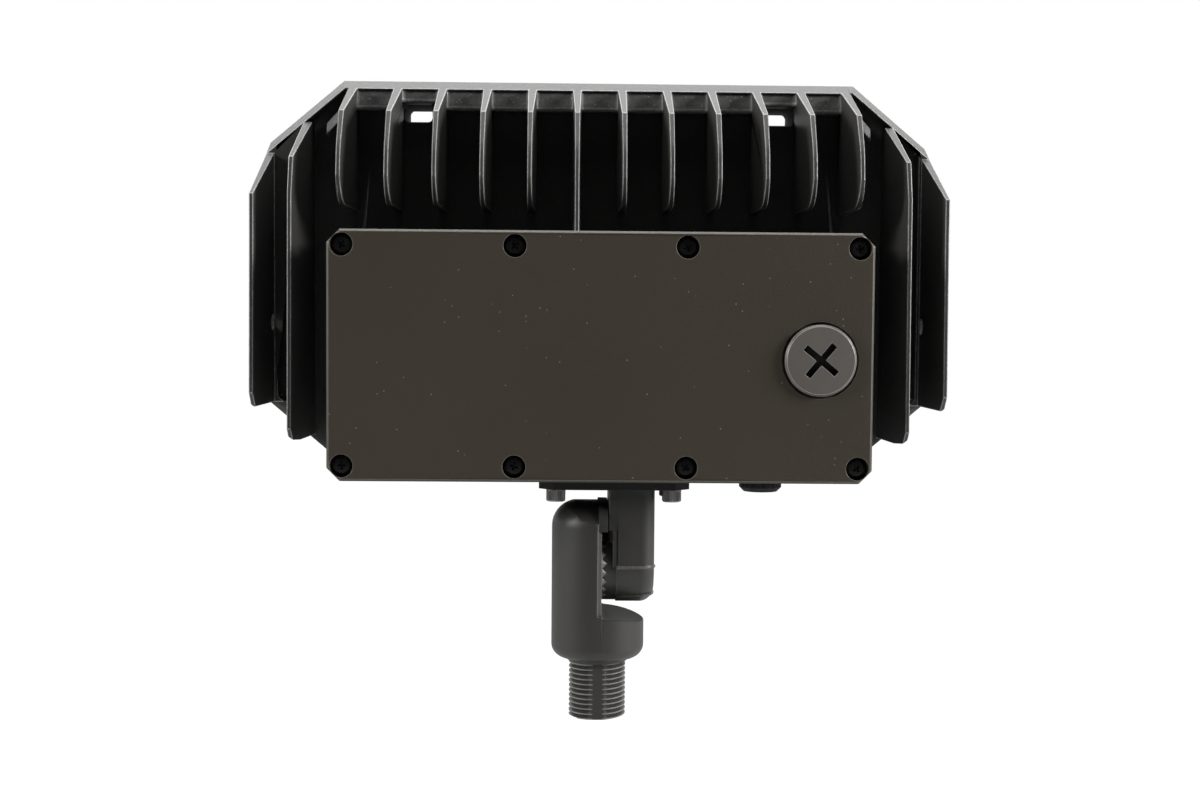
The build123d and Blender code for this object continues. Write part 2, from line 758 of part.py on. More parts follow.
with BuildPart() as heatsink_housing:
    with BuildSketch(across(lip_rear)):
        add(head_outline)
    extrude(amount=lip_rear - head_front)
    rear_face = heatsink_housing.faces().sort_by(Axis.Y)[0]
    rim_edges = rear_face.edges().filter_by(lambda edge: edge.center().Z > outline_top - head_corner_drop)
    chamfer(rim_edges, rim_drop, rim_front - lip_rear, reference=rear_face)
    with BuildSketch(across(lip_rear)):
        add(grown(head_outline, -lip_wall))
        with Locations((0, side_bottom)):
            Rectangle(
                2 * head_half_width,
                head_corner_drop + overrun,
                align=(Align.CENTER, Align.MAX),
            )
    extrude(amount=lip_rear - base_rear, mode=Mode.SUBTRACT)
    lip_roots = heatsink_housing.edges().filter_by(
        lambda edge: abs(edge.center().Y - base_rear) < edge_tolerance
        and abs(edge.center().X) < head_half_width - lip_wall + edge_tolerance
        and side_bottom < edge.center().Z < outline_top - lip_wall + edge_tolerance
    )
    fillet(lip_roots, lip_round)
    with Locations(*[(x, 0, 0) for x in plain_columns]):
        add(short_fin)
    with Locations((stiffener_column, 0, 0)):
        add(stiffener_fin)
    with Locations((-long_fin_x, 0, 0), (long_fin_x, 0, 0)):
        add(long_fin)
    with Locations((-head_half_width, 0, 0), (head_half_width, 0, 0)):
        add(outer_fin)
    add(envelope.part, mode=Mode.INTERSECT)
    with BuildSketch(across(box_rear)):
        add(box_outline)
    extrude(amount=box_rear - base_rear)
    with BuildSketch(across(box_rear)):
        add(grown(box_outline, -box_wall))
    extrude(amount=box_rear - base_rear, mode=Mode.SUBTRACT)
    with BuildSketch(across(box_rear)):
        with Locations(*cover_screw_places):
            Circle(boss_diameter / 2)
    extrude(amount=box_rear - base_rear)
    with BuildSketch(Plane.XY.offset(head_base)):
        with Locations(*flange_screw_places):
            Circle(flange_boss_diameter / 2)
    extrude(amount=flange_boss_height)
    with BuildSketch(across(box_rear)):
        with Locations(*cover_screw_places):
            Circle(m4_diameter / 2 + m4_tap_clearance)
    extrude(amount=-cover_tap_depth, mode=Mode.SUBTRACT)
    with BuildSketch(Plane.XY.offset(head_base)):
        with Locations(*flange_screw_places):
            Circle(m4_diameter / 2 + m4_tap_clearance)
        with Locations((passage_x, 0)):
            SlotOverall(arm_passage_depth, floor_passage_width, rotation=90)
    extrude(amount=flange_tap_depth, mode=Mode.SUBTRACT)
    with BuildSketch(Plane.XY.offset(head_base)):
        with Locations((vent_x, vent_y)):
            Circle(vent_thread_diameter / 2 + plug_thread_clearance)
    extrude(amount=box_wall, mode=Mode.SUBTRACT)
    with BuildSketch(across(head_front)):
        add(window_outline)
    extrude(amount=head_front - led_seat, mode=Mode.SUBTRACT)
    with BuildSketch(across(head_front)):
        add(grown(window_outline, gasket_margin))
    extrude(amount=gasket_thickness, mode=Mode.SUBTRACT)
    with BuildSketch(across(head_front)):
        with Locations(*frame_screw_places):
            Circle(m4_diameter / 2 + m4_tap_clearance)
    extrude(amount=frame_tap_depth, mode=Mode.SUBTRACT)
    with BuildSketch(across(base_rear)):
        with Locations(*frame_pad_places):
            Circle(frame_pad_diameter / 2)
    extrude(amount=frame_pad_height)
    with BuildSketch(across(lip_rear)) as slots:
        with Locations(*slot_places):
            Rectangle(slot_width, slot_height)
        fillet(slots.vertices(), slot_round)
    extrude(amount=lip_rear - head_front, mode=Mode.SUBTRACT)
    with BuildSketch(Plane.YZ.offset(-head_half_width)):
        with Locations((side_hole_depth, outline_bottom + side_hole_rise)):
            Circle(side_hole_diameter / 2)
    extrude(amount=outer_fin_root + overrun, mode=Mode.SUBTRACT)
    with BuildSketch(Plane.YZ.offset(head_half_width)):
        with Locations((side_hole_depth, outline_bottom + side_hole_rise)):
            Circle(side_hole_diameter / 2)
    extrude(amount=-outer_fin_root - overrun, mode=Mode.SUBTRACT)
    with BuildSketch(across(base_rear)):
        with Locations(*lead_hole_places):
            Circle(lead_hole / 2)
    extrude(amount=base_rear - led_seat, mode=Mode.SUBTRACT)
    with BuildSketch(across(base_rear)):
        with Locations(*driver_tab_places):
            Circle(m4_diameter / 2 + m4_tap_clearance)
    extrude(amount=-driver_screw_bite - m4_tap_clearance, mode=Mode.SUBTRACT)
    with BuildSketch(across(led_seat)):
        with Locations(*board_screw_places):
            Circle(m4_diameter / 2 + m4_tap_clearance)
    extrude(amount=board_screw_bite + m4_tap_clearance, mode=Mode.SUBTRACT)

# Rear cover with sunk screw holes and a conduit port behind a cross-slot plug
with BuildPart() as rear_cover:
    with BuildSketch(across(cover_rear)):
        add(grown(box_outline, cover_overhang))
    extrude(amount=-cover_thickness)
    chamfer(rear_cover.faces().sort_by(Axis.Y)[0].edges(), cover_edge_bevel)
    with BuildSketch(across(cover_front)):
        with Locations((plug_x, plug_height)):
            Circle(plug_thread_diameter / 2 + port_boss_wall)
    extrude(amount=-port_boss_height)
    with BuildSketch(across(cover_rear)):
        with Locations(*cover_screw_places):
            Circle(cover_recess_diameter / 2)
    extrude(amount=-cover_recess_depth, mode=Mode.SUBTRACT)
    with BuildSketch(across(cover_rear)):
        with Locations(*cover_screw_places):
            Circle(m4_diameter / 2 + m4_clearance)
    extrude(amount=-cover_thickness, mode=Mode.SUBTRACT)
    with BuildSketch(across(cover_rear)):
        with Locations((plug_x, plug_height)):
            Circle(plug_head_diameter / 2 + plug_recess_clearance)
    extrude(amount=-plug_recess_depth, mode=Mode.SUBTRACT)
    with BuildSketch(across(cover_rear)):
        with Locations((plug_x, plug_height)):
            Circle(plug_thread_diameter / 2 + plug_thread_clearance)
    extrude(amount=-cover_thickness - port_boss_height, mode=Mode.SUBTRACT)

with BuildPart() as cover_gasket:
    with BuildSketch(across(cover_front)):
        add(box_outline)
        add(grown(box_outline, -box_wall), mode=Mode.SUBTRACT)
        with Locations(*cover_screw_places):
            Circle(boss_diameter / 2)
            Circle(m4_diameter / 2 + m4_clearance, mode=Mode.SUBTRACT)
    extrude(amount=-cover_gasket_thickness)

cover_screw = cross_screw(cover_screw_reach, cover_screw_head_height)
with BuildPart() as cover_screws:
    with Locations(*[Location((x, cover_seat, z), (90, 0, 0)) for x, z in cover_screw_places]):
        add(cover_screw)

with BuildPart() as port_plug:
    with BuildSketch(across(plug_seat)):
        with Locations((plug_x, plug_height)):
            Circle(plug_head_diameter / 2)
    extrude(amount=plug_head_height)
    chamfer(port_plug.faces().sort_by(Axis.Y)[0].edges(), plug_edge_bevel)
    with BuildSketch(across(plug_seat - plug_head_height)):
        with Locations((plug_x, plug_height)):
            Rectangle(plug_slot_length, plug_slot_width, rotation=plug_slot_angle)
            Rectangle(plug_slot_width, plug_slot_length, rotation=plug_slot_angle)
    extrude(amount=-plug_slot_depth, mode=Mode.SUBTRACT)
    with BuildSketch(across(plug_seat)):
        with Locations((plug_x, plug_height)):
            Circle(plug_thread_diameter / 2)
    extrude(amount=-plug_thread_length)
    chamfer(port_plug.faces().sort_by(Axis.Y)[-1].edges(), plug_edge_bevel)

with BuildPart() as plug_seal:
    with BuildSketch(across(plug_seat)):
        with Locations((plug_x, plug_height)):
            Circle(plug_head_diameter / 2 - plug_edge_bevel)
            Circle(plug_thread_diameter / 2 + plug_thread_clearance, mode=Mode.SUBTRACT)
    extrude(amount=-plug_seal_thickness)

# Breather vent screwed up into the floor of the driver box
with BuildPart() as vent_plug:
    with BuildSketch(Plane.XY.offset(head_base - vent_seal_thickness)):
        with Locations((vent_x, vent_y)):
            Circle(vent_cap_diameter / 2)
    extrude(amount=-vent_cap_height)
    chamfer(vent_plug.faces().sort_by(Axis.Z)[0].edges(), vent_cap_bevel)
    with BuildSketch(Plane.XY.offset(head_base - vent_seal_thickness)):
        with Locations((vent_x, vent_y)):
            Circle(vent_thread_diameter / 2)
    extrude(amount=vent_thread_length)

with BuildPart() as vent_seal:
    with BuildSketch(Plane.XY.offset(head_base)):
        with Locations((vent_x, vent_y)):
            Circle(vent_cap_diameter / 2 - vent_seal_thickness)
            Circle(vent_thread_diameter / 2 + plug_thread_clearance, mode=Mode.SUBTRACT)
    extrude(amount=-vent_seal_thickness)

# LED driver: a potted case between two screw tabs on the floor of its box
with BuildPart() as led_driver:
    with BuildSketch(across(base_rear)) as driver_case:
        with Locations((driver_x, driver_center_height)):
            Rectangle(driver_length, driver_height)
        fillet(driver_case.vertices(), driver_edge_round)
    extrude(amount=driver_depth)
    chamfer(led_driver.faces().sort_by(Axis.Y)[0].edges(), driver_edge_bevel)
    with BuildSketch(across(base_rear)):
        with Locations((driver_x, driver_center_height)):
            Rectangle(driver_length + 2 * driver_tab, 2 * driver_tab)
    extrude(amount=driver_tab_thickness)
    with BuildSketch(across(base_rear)):
        with Locations(*driver_tab_places):
            Circle(m4_diameter / 2 + m4_clearance)
    extrude(amount=driver_tab_thickness, mode=Mode.SUBTRACT)

driver_screw = cross_screw(driver_tab_thickness + driver_screw_bite, cover_screw_head_height)
with BuildPart() as driver_screws:
    with Locations(
        *[Location((x, base_rear - driver_tab_thickness, z), (90, 0, 0)) for x, z in driver_tab_places]
    ):
        add(driver_screw)

# Two leads from the driver's end, down through the floor to the LED board
with BuildPart() as output_leads:
    for height in lead_heights:
        with BuildLine() as lead_path:
            FilletPolyline(
                (driver_end, base_rear - driver_depth / 2, height),
                (driver_end + lead_run, base_rear - driver_depth / 2, height),
                (driver_end + lead_run, board_front, height),
                radius=lead_bend,
            )
        with BuildSketch(Plane(origin=lead_path.line @ 0, z_dir=lead_path.line % 0)):
            Circle(lead_diameter / 2)
        sweep(path=lead_path.line)

# Twist-on connectors that join the driver to the supply wires
with BuildPart() as splice:
    with BuildSketch(Plane.XZ):
        with BuildLine():
            Polyline(
                (0, 0),
                (splice_diameter / 2, 0),
                (splice_diameter / 2, splice_skirt),
                (splice_tip_diameter / 2, splice_length),
                (0, splice_length),
                close=True,
            )
        make_face()
    revolve(axis=Axis.Z)
    with BuildSketch():
        Circle(splice_bore / 2)
    extrude(amount=splice_bore_depth, mode=Mode.SUBTRACT)

splice_depth = base_rear - driver_depth - splice_diameter / 2
with BuildPart() as wire_connectors:
    with Locations(*[(x, splice_depth, driver_center_height) for x in splice_places]):
        add(splice.part)

# LED board, its chips and screws
with BuildPart() as led_board:
    with BuildSketch(across(led_seat)):
        add(grown(window_outline, -board_margin))
        with Locations(*board_screw_places):
            Circle(m4_diameter / 2 + m4_clearance, mode=Mode.SUBTRACT)
        with Locations(*lead_hole_places):
            Circle(lead_hole / 2, mode=Mode.SUBTRACT)
    extrude(amount=-board_thickness)

with BuildPart() as led_chips:
    with BuildSketch(across(board_front)):
        with Locations((0, window_middle)):
            with GridLocations(chip_pitch_x, chip_pitch_z, chip_columns, chip_rows):
                Rectangle(chip_size, chip_size)
    extrude(amount=-chip_height)

board_screw = cross_screw(board_thickness + board_screw_bite, board_screw_head_height)
with BuildPart() as board_screws:
    with Locations(*[Location((x, board_front, z), (-90, 0, 0)) for x, z in board_screw_places]):
        add(board_screw)

# Flared reflector round the chips, up to the glass gasket
with BuildPart() as reflector:
    for inset, mode in ((0, Mode.ADD), (reflector_wall, Mode.SUBTRACT)):
        with BuildSketch(across(board_front)):
            add(grown(window_outline, -reflector_inset - inset))
        with BuildSketch(across(rebate_floor)):
            add(grown(window_outline, -reflector_flare - inset))
        loft(mode=mode)

# Glass, the channel gasket round its edge and the frame that holds both
with BuildPart() as front_glass:
    with BuildSketch(across(rebate_floor + gasket_lip)):
        add(grown(window_outline, glass_margin))
    extrude(amount=-glass_thickness)

with BuildPart() as glass_gasket:
    with BuildSketch(across(rebate_floor)):
        add(grown(window_outline, gasket_margin))
        add(grown(window_outline, glass_margin - gasket_cover), mode=Mode.SUBTRACT)
    extrude(amount=-gasket_thickness)
    add(front_glass.part, mode=Mode.SUBTRACT)

with BuildPart() as front_frame:
    with BuildSketch(across(head_front)):
        add(grown(window_outline, frame_margin))
        add(grown(window_outline, -frame_sight), mode=Mode.SUBTRACT)
    extrude(amount=-frame_thickness)
    chamfer(front_frame.faces().sort_by(Axis.Y)[-1].edges(), frame_edge_bevel)
    with BuildSketch(across(head_front)):
        with Locations(*frame_screw_places):
            Circle(m4_diameter / 2 + m4_clearance)
    extrude(amount=-frame_thickness, mode=Mode.SUBTRACT)

frame_screw = cross_screw(frame_thickness + frame_screw_bite, cover_screw_head_height)
with BuildPart() as frame_screws:
    with Locations(*[Location((x, frame_front, z), (-90, 0, 0)) for x, z in frame_screw_places]):
        add(frame_screw)

os.makedirs("parts", exist_ok=True)
lower_knuckle.part.label = "lower_knuckle"
export_step(lower_knuckle.part, "parts/lower_knuckle.step")
wire_seal.part.label = "wire_seal"
export_step(wire_seal.part, "parts/wire_seal.step")
clamp_washer.part.label = "clamp_washer"
export_step(clamp_washer.part, "parts/clamp_washer.step")
clamp_bolt.part.label = "clamp_bolt"
export_step(clamp_bolt.part, "parts/clamp_bolt.step")
upper_knuckle.part.label = "upper_knuckle"
export_step(upper_knuckle.part, "parts/upper_knuckle.step")
flange_gasket.part.label = "flange_gasket"
export_step(flange_gasket.part, "parts/flange_gasket.step")
flange_washers.part.label = "flange_washers"
export_step(flange_washers.part, "parts/flange_washers.step")
flange_screws.part.label = "flange_screws"
export_step(flange_screws.part, "parts/flange_screws.step")
heatsink_housing.part.label = "heatsink_housing"
export_step(heatsink_housing.part, "parts/heatsink_housing.step")
rear_cover.part.label = "rear_cover"
export_step(rear_cover.part, "parts/rear_cover.step")
cover_gasket.part.label = "cover_gasket"
export_step(cover_gasket.part, "parts/cover_gasket.step")
cover_screws.part.label = "cover_screws"
export_step(cover_screws.part, "parts/cover_screws.step")
port_plug.part.label = "port_plug"
export_step(port_plug.part, "parts/port_plug.step")
plug_seal.part.label = "plug_seal"
export_step(plug_seal.part, "parts/plug_seal.step")
vent_plug.part.label = "vent_plug"
export_step(vent_plug.part, "parts/vent_plug.step")
vent_seal.part.label = "vent_seal"
export_step(vent_seal.part, "parts/vent_seal.step")
led_driver.part.label = "led_driver"
export_step(led_driver.part, "parts/led_driver.step")
driver_screws.part.label = "driver_screws"
export_step(driver_screws.part, "parts/driver_screws.step")
output_leads.part.label = "output_leads"
export_step(output_leads.part, "parts/output_leads.step")
wire_connectors.part.label = "wire_connectors"
export_step(wire_connectors.part, "parts/wire_connectors.step")
led_board.part.label = "led_board"
export_step(led_board.part, "parts/led_board.step")
led_chips.part.label = "led_chips"
export_step(led_chips.part, "parts/led_chips.step")
board_screws.part.label = "board_screws"
export_step(board_screws.part, "parts/board_screws.step")
reflector.part.label = "reflector"
export_step(reflector.part, "parts/reflector.step")
front_glass.part.label = "front_glass"
export_step(front_glass.part, "parts/front_glass.step")
glass_gasket.part.label = "glass_gasket"
export_step(glass_gasket.part, "parts/glass_gasket.step")
front_frame.part.label = "front_frame"
export_step(front_frame.part, "parts/front_frame.step")
frame_screws.part.label = "frame_screws"
export_step(frame_screws.part, "parts/frame_screws.step")
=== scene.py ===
"""LED flood light seen from behind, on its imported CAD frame. Lengths are metres."""

from math import atan2, cos, pi, radians, sin

import bpy
from mathutils import Matrix, Vector


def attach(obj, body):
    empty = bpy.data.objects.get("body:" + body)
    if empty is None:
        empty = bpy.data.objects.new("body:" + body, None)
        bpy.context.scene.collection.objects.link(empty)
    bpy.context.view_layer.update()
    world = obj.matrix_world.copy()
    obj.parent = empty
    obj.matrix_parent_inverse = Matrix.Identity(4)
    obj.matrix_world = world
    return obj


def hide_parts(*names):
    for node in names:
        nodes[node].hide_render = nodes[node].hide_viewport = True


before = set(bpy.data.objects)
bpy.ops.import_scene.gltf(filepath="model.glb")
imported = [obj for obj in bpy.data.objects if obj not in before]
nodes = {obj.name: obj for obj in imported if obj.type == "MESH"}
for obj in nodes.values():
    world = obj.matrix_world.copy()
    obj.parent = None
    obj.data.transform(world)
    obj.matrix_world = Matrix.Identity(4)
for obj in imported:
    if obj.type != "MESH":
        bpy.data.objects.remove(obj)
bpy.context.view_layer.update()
bpy.ops.object.select_all(action="DESELECT")

# Camera, fitted to the photograph
camera_place = Vector((-0.0109, -0.5735, 0.1230))
camera_lens = 46.68
camera_pitch_down = 2.84
camera_yaw_right = 1.12
camera_roll = 0.46

# Studio: floor, and a world that is dim behind the camera and white beyond the object
floor_height = -0.30
floor_size = 12.0
floor_start = -1.1
floor_tone = 0.4
floor_roughness = 0.9
floor_glow = 1.15
floor_glow_share = 0.85
backdrop_level = 1.0
camera_side_level = 0.04
dim_until = -0.45
white_from = 0.35

# Softboxes: name, place, point they face, width, height and power in watts
softboxes = (
    ("top_softbox", (0.0, 0.0, 1.5), (0.0, 0.0, 0.15), 1.2, 0.8, 20.0),
    ("back_softbox", (0.0, 1.7, 1.4), (0.0, 0.0, 0.2), 2.4, 1.2, 16.0),
    ("left_softbox", (-1.36, -0.45, 0.62), (0.0, 0.0, 0.1), 0.4, 0.4, 18.0),
    ("right_softbox", (1.36, -0.45, 0.6), (0.0, 0.0, 0.1), 0.5, 0.4, 30.0),
)

# Merging of a copied node, and how far points of a cut may lie from its plane
merge_distance = 0.00002
cut_tolerance = 0.000001

# Bevels: their steps, the sharpest corner left as it is and what counts as flat, in degrees
bevel_steps = 2
sharp_corner = 28.0
nearly_flat = 0.5

# Castings: where the rounding of their edges stops
casting_edge = 0.00032
casting_front = 0.0425
box_inside_x = 0.098
box_inside_top = 0.157
joined_front = 0.0415
joined_inside_x = 0.0975
joined_inside_top = 0.1565
plate_edge = 0.0002
plate_back = -0.0245

# Zones of the housing whose edges stay sharp, as ranges of |x|, y and z, and the rim's slope
far = 1.0
base_plate = ((-far, 0.124), (0.0395, far), (-far, 0.2))
rim_by_end_fins = ((0.0965, 0.1025), (0.0355, far), (0.2105, far))
by_end_fins = ((0.0835, 0.0935), (0.0, far), (-far, 0.195))
top_of_long_fins = ((0.1085, 0.118), (0.0345, far), (0.192, far))
rim_corner_x = 0.098
rim_corner_z = 0.2142
rim_fall = 0.855

# Fins and the slots between them
fin_pitch = 0.0174
slot_cell = 4
slot_x = 0.0708
slot_z = 0.205
seat_rear = 0.0422

# Knuckle, its ear and the teeth
notch_face = 0.0011
trough_floor = 0.0138
ear_round = 0.0094
pivot_height = 0.0344
teeth_low_x = 0.0008
teeth_high_x = 0.0037
teeth_radius = 0.0142

# Conduit nipple, 14 turns to the inch, with a smooth flat on its back and front
thread_pitch = 0.001814
thread_depth = 0.0009
nipple_radius = 0.01048
nipple_bore = 0.0062
thread_crest = 0.01028
nipple_bottom = -0.0221
neck_radius = 0.0114
neck_bottom = -0.0014
flat_face = 0.01003
flat_half_width = 0.0031
ring_steps = 72

# Edges of the knuckle castings, the plug and the screws
knuckle_edge = 0.00025
knuckle_inside = 0.0095
plug_edge = 0.00011
plug_centre = Vector((0.0776, -0.0272, 0.1106))
plug_seat = -0.0249
screw_edge = 0.0004

# Places of the flange, screws, vent and light emitters
flange_underside = 0.0634
flange_middle = 0.0054
flange_screw_x = 0.0211
flange_screw_y = 0.0095
flange_screw_seat = 0.0625
bolt_seat = 0.0116
cover_screw_seat = -0.0205
frame_front = 0.069
board_front = 0.0496
vent_x = 0.0609
vent_y = 0.008
chip_pitch = 0.013
window_middle = 0.135


def only(piece):
    """Selects this piece alone and makes it active."""
    bpy.ops.object.select_all(action="DESELECT")
    piece.select_set(True)
    bpy.context.view_layer.objects.active = piece


def edit(piece, kind="VERT"):
    """Opens this piece in edit mode with nothing selected."""
    only(piece)
    bpy.ops.object.mode_set(mode="EDIT")
    bpy.ops.mesh.select_mode(type=kind)
    bpy.ops.mesh.select_all(action="DESELECT")


def done():
    """Goes back to object mode."""
    bpy.ops.object.mode_set(mode="OBJECT")


def pick(piece, kind, test):
    """In edit mode, selects only the vertices, edges or faces whose middle passes the test."""
    done()
    mesh = piece.data
    for parts in (mesh.polygons, mesh.edges, mesh.vertices):
        parts.foreach_set("select", [False] * len(parts))
    if kind == "FACE":
        for face in mesh.polygons:
            face.select = test(face)
    elif kind == "EDGE":
        for edge in mesh.edges:
            first, second = (mesh.vertices[index].co for index in edge.vertices)
            edge.select = test((first + second) / 2)
    else:
        for vertex in mesh.vertices:
            vertex.select = test(vertex.co)
    bpy.ops.object.mode_set(mode="EDIT")
    bpy.ops.mesh.select_mode(type=kind)


def drop(piece, test):
    """In edit mode, deselects the selected edges whose middle passes the test."""
    done()
    mesh = piece.data
    mesh.polygons.foreach_set("select", [False] * len(mesh.polygons))
    for edge in mesh.edges:
        first, second = (mesh.vertices[index].co for index in edge.vertices)
        if edge.select and test((first + second) / 2):
            edge.select = False
    bpy.ops.object.mode_set(mode="EDIT")


def apply_place():
    """Puts the selected piece's place, turn and size into its mesh."""
    bpy.ops.object.transform_apply(location=True, rotation=True, scale=True)


def draw_out(step):
    """Extrudes what is selected by a step."""
    bpy.ops.mesh.extrude_region_move(TRANSFORM_OT_translate={"value": step})


def shrink(share):
    """Brings what is selected to this share of its distance from the Z axis."""
    bpy.ops.transform.resize(value=(share, share, 1), center_override=(0, 0, 0))


def split(place, normal, **sides):
    """Cuts the open piece along a plane, and clears the side that is named, if any."""
    bpy.ops.mesh.select_all(action="SELECT")
    bpy.ops.mesh.bisect(plane_co=place, plane_no=normal, threshold=cut_tolerance, **sides)


def close_up():
    """Merges points that lie together, turns all faces outwards and leaves edit mode."""
    bpy.ops.mesh.select_all(action="SELECT")
    bpy.ops.mesh.remove_doubles(threshold=merge_distance)
    bpy.ops.mesh.normals_make_consistent(inside=False)
    done()


def from_axis(place):
    """Distance of a place from the Z axis."""
    return Vector((place.x, place.y)).length


def from_pivot(place):
    """Distance of a place from the clamp bolt's axis."""
    return Vector((place.y, place.z - pivot_height)).length


def within(place, zone):
    """True where the place's |x|, y and z each lie inside the zone's range."""
    measures = (abs(place.x), place.y, place.z)
    return all(low < measure < high for measure, (low, high) in zip(measures, zone))


def give_finishes(piece, finishes):
    """Replaces the piece's list of finishes."""
    piece.data.materials.clear()
    for finish in finishes:
        piece.data.materials.append(finish)


def paint(piece, number, test):
    """Gives the finish of this number in the piece's list to the faces that pass the test."""
    for face in piece.data.polygons:
        if test(face):
            face.material_index = number


def node_copy(name, node, may_join=None, tiny_edge=0.0):
    """Merged copy of a CAD node, whose flat faces are joined up where may_join allows it."""
    piece = bpy.data.objects.new(name, nodes[node].data.copy())
    bpy.context.scene.collection.objects.link(piece)
    edit(piece, "FACE")
    bpy.ops.mesh.select_all(action="SELECT")
    bpy.ops.mesh.remove_doubles(threshold=merge_distance)
    if may_join:
        pick(piece, "FACE", lambda face: may_join(face.center))
        bpy.ops.mesh.dissolve_limited(angle_limit=radians(nearly_flat))
    if tiny_edge:
        bpy.ops.mesh.select_all(action="SELECT")
        bpy.ops.mesh.dissolve_degenerate(threshold=tiny_edge)
    done()
    return piece


def round_edges(piece, width, keep_sharp):
    """Bevels the piece's sharp edges, apart from those that keep_sharp names by place.

    The bevels take the piece's second finish.
    """
    give_finishes(piece, [casting_coat, edge_wear_and_highlight])
    edit(piece, "EDGE")
    bpy.ops.mesh.edges_select_sharp(sharpness=radians(sharp_corner))
    drop(piece, keep_sharp)
    bpy.ops.mesh.bevel(
        offset=width, segments=bevel_steps, profile=0.5, affect="EDGES", clamp_overlap=False,
        material=1,
    )
    done()


def smooth(piece, angle=35.0):
    """Shades the piece smooth, apart from edges sharper than the angle, and keeps flats flat."""
    only(piece)
    bpy.ops.object.shade_smooth_by_angle(angle=radians(angle))
    weighting = piece.modifiers.new("weighting", "WEIGHTED_NORMAL")
    weighting.keep_sharp = True
    bpy.ops.object.modifier_apply(modifier="weighting")


def settle(piece, finishes, body, slot, *stands_for):
    """Puts the piece's place into its mesh, gives it finishes and a body, and hides the CAD nodes
    it stands for. The slot is not used.
    """
    only(piece)
    apply_place()
    faces = piece.data.polygons
    kept = [0] * len(faces)
    faces.foreach_get("material_index", kept)
    give_finishes(piece, finishes)
    faces.foreach_set("material_index", [min(index, len(finishes) - 1) for index in kept])
    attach(piece, body)
    if stands_for:
        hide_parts(*stands_for)
    piece.select_set(False)


def twin(piece, name, place, turn=(0.0, 0.0, 0.0)):
    """Copy of a modelled piece with its own mesh, turned and then moved to its place."""
    other = piece.copy()
    other.data = piece.data.copy()
    other.name = name
    bpy.context.scene.collection.objects.link(other)
    other.rotation_euler = [radians(angle) for angle in turn]
    other.location = place
    return other


def carve(piece, cutter, operation="DIFFERENCE"):
    """Cuts the cutter's shape out of the piece, or keeps only what is in both, and deletes it."""
    carving = piece.modifiers.new("carving", "BOOLEAN")
    carving.operation = operation
    carving.object = cutter
    carving.solver = "EXACT"
    only(piece)
    bpy.ops.object.modifier_apply(modifier="carving")
    bpy.data.objects.remove(cutter)


def round_bar(name, radius, length, middle=(0.0, 0.0, 0.0), sides=48):
    """Cylinder along Z, the start of a turned piece."""
    bpy.ops.object.select_all(action="DESELECT")
    bpy.ops.mesh.primitive_cylinder_add(
        vertices=sides, radius=radius, depth=length, location=middle, end_fill_type="NGON"
    )
    bar = bpy.context.object
    bar.name = name
    apply_place()
    return bar


def block(name, size, middle=(0.0, 0.0, 0.0)):
    """Box, the start of a squared piece."""
    bpy.ops.object.select_all(action="DESELECT")
    bpy.ops.mesh.primitive_cube_add(size=1.0, location=middle)
    box = bpy.context.object
    box.name = name
    box.scale = size
    apply_place()
    return box


def line_of(name, points):
    """Chain of edges through these points, drawn out from a small plane merged to a point."""
    bpy.ops.object.select_all(action="DESELECT")
    bpy.ops.mesh.primitive_plane_add(size=0.001, location=points[0])
    chain = bpy.context.object
    chain.name = name
    apply_place()
    edit(chain)
    bpy.ops.mesh.select_all(action="SELECT")
    bpy.ops.mesh.merge(type="CENTER")
    for start, end in zip(points, points[1:]):
        draw_out(Vector(end) - Vector(start))
    done()
    return chain


def turned(name, outline, steps=48):
    """Closed turned piece about Z, from an outline of (radius, height) that ends on the axis."""
    piece = line_of(name, [(radius, 0.0, height) for radius, height in outline])
    edit(piece)
    bpy.ops.mesh.select_all(action="SELECT")
    bpy.ops.mesh.spin(steps=steps, angle=2 * pi, center=(0, 0, 0), axis=(0, 0, 1))
    close_up()
    return piece


def new_material(name):
    """Empty node material with a Principled shader: (material, nodes, links, shader)."""
    material = bpy.data.materials.new(name)
    material.use_nodes = True
    tree = material.node_tree
    return material, tree.nodes, tree.links, tree.nodes["Principled BSDF"]


def group_socket(group, name, direction, default=None):
    """Adds one number socket to a node group's interface."""
    socket = group.interface.new_socket(
        name=name, in_out=direction, socket_type="NodeSocketFloat"
    )
    if default is not None:
        socket.default_value = default


def noise(put, link, place, scale, detail):
    """Noise texture on a place, with its scale from a socket."""
    texture = put("ShaderNodeTexNoise")
    texture.inputs["Detail"].default_value = detail
    link(place, texture.inputs["Vector"])
    link(scale, texture.inputs["Scale"])
    return texture.outputs["Fac"]


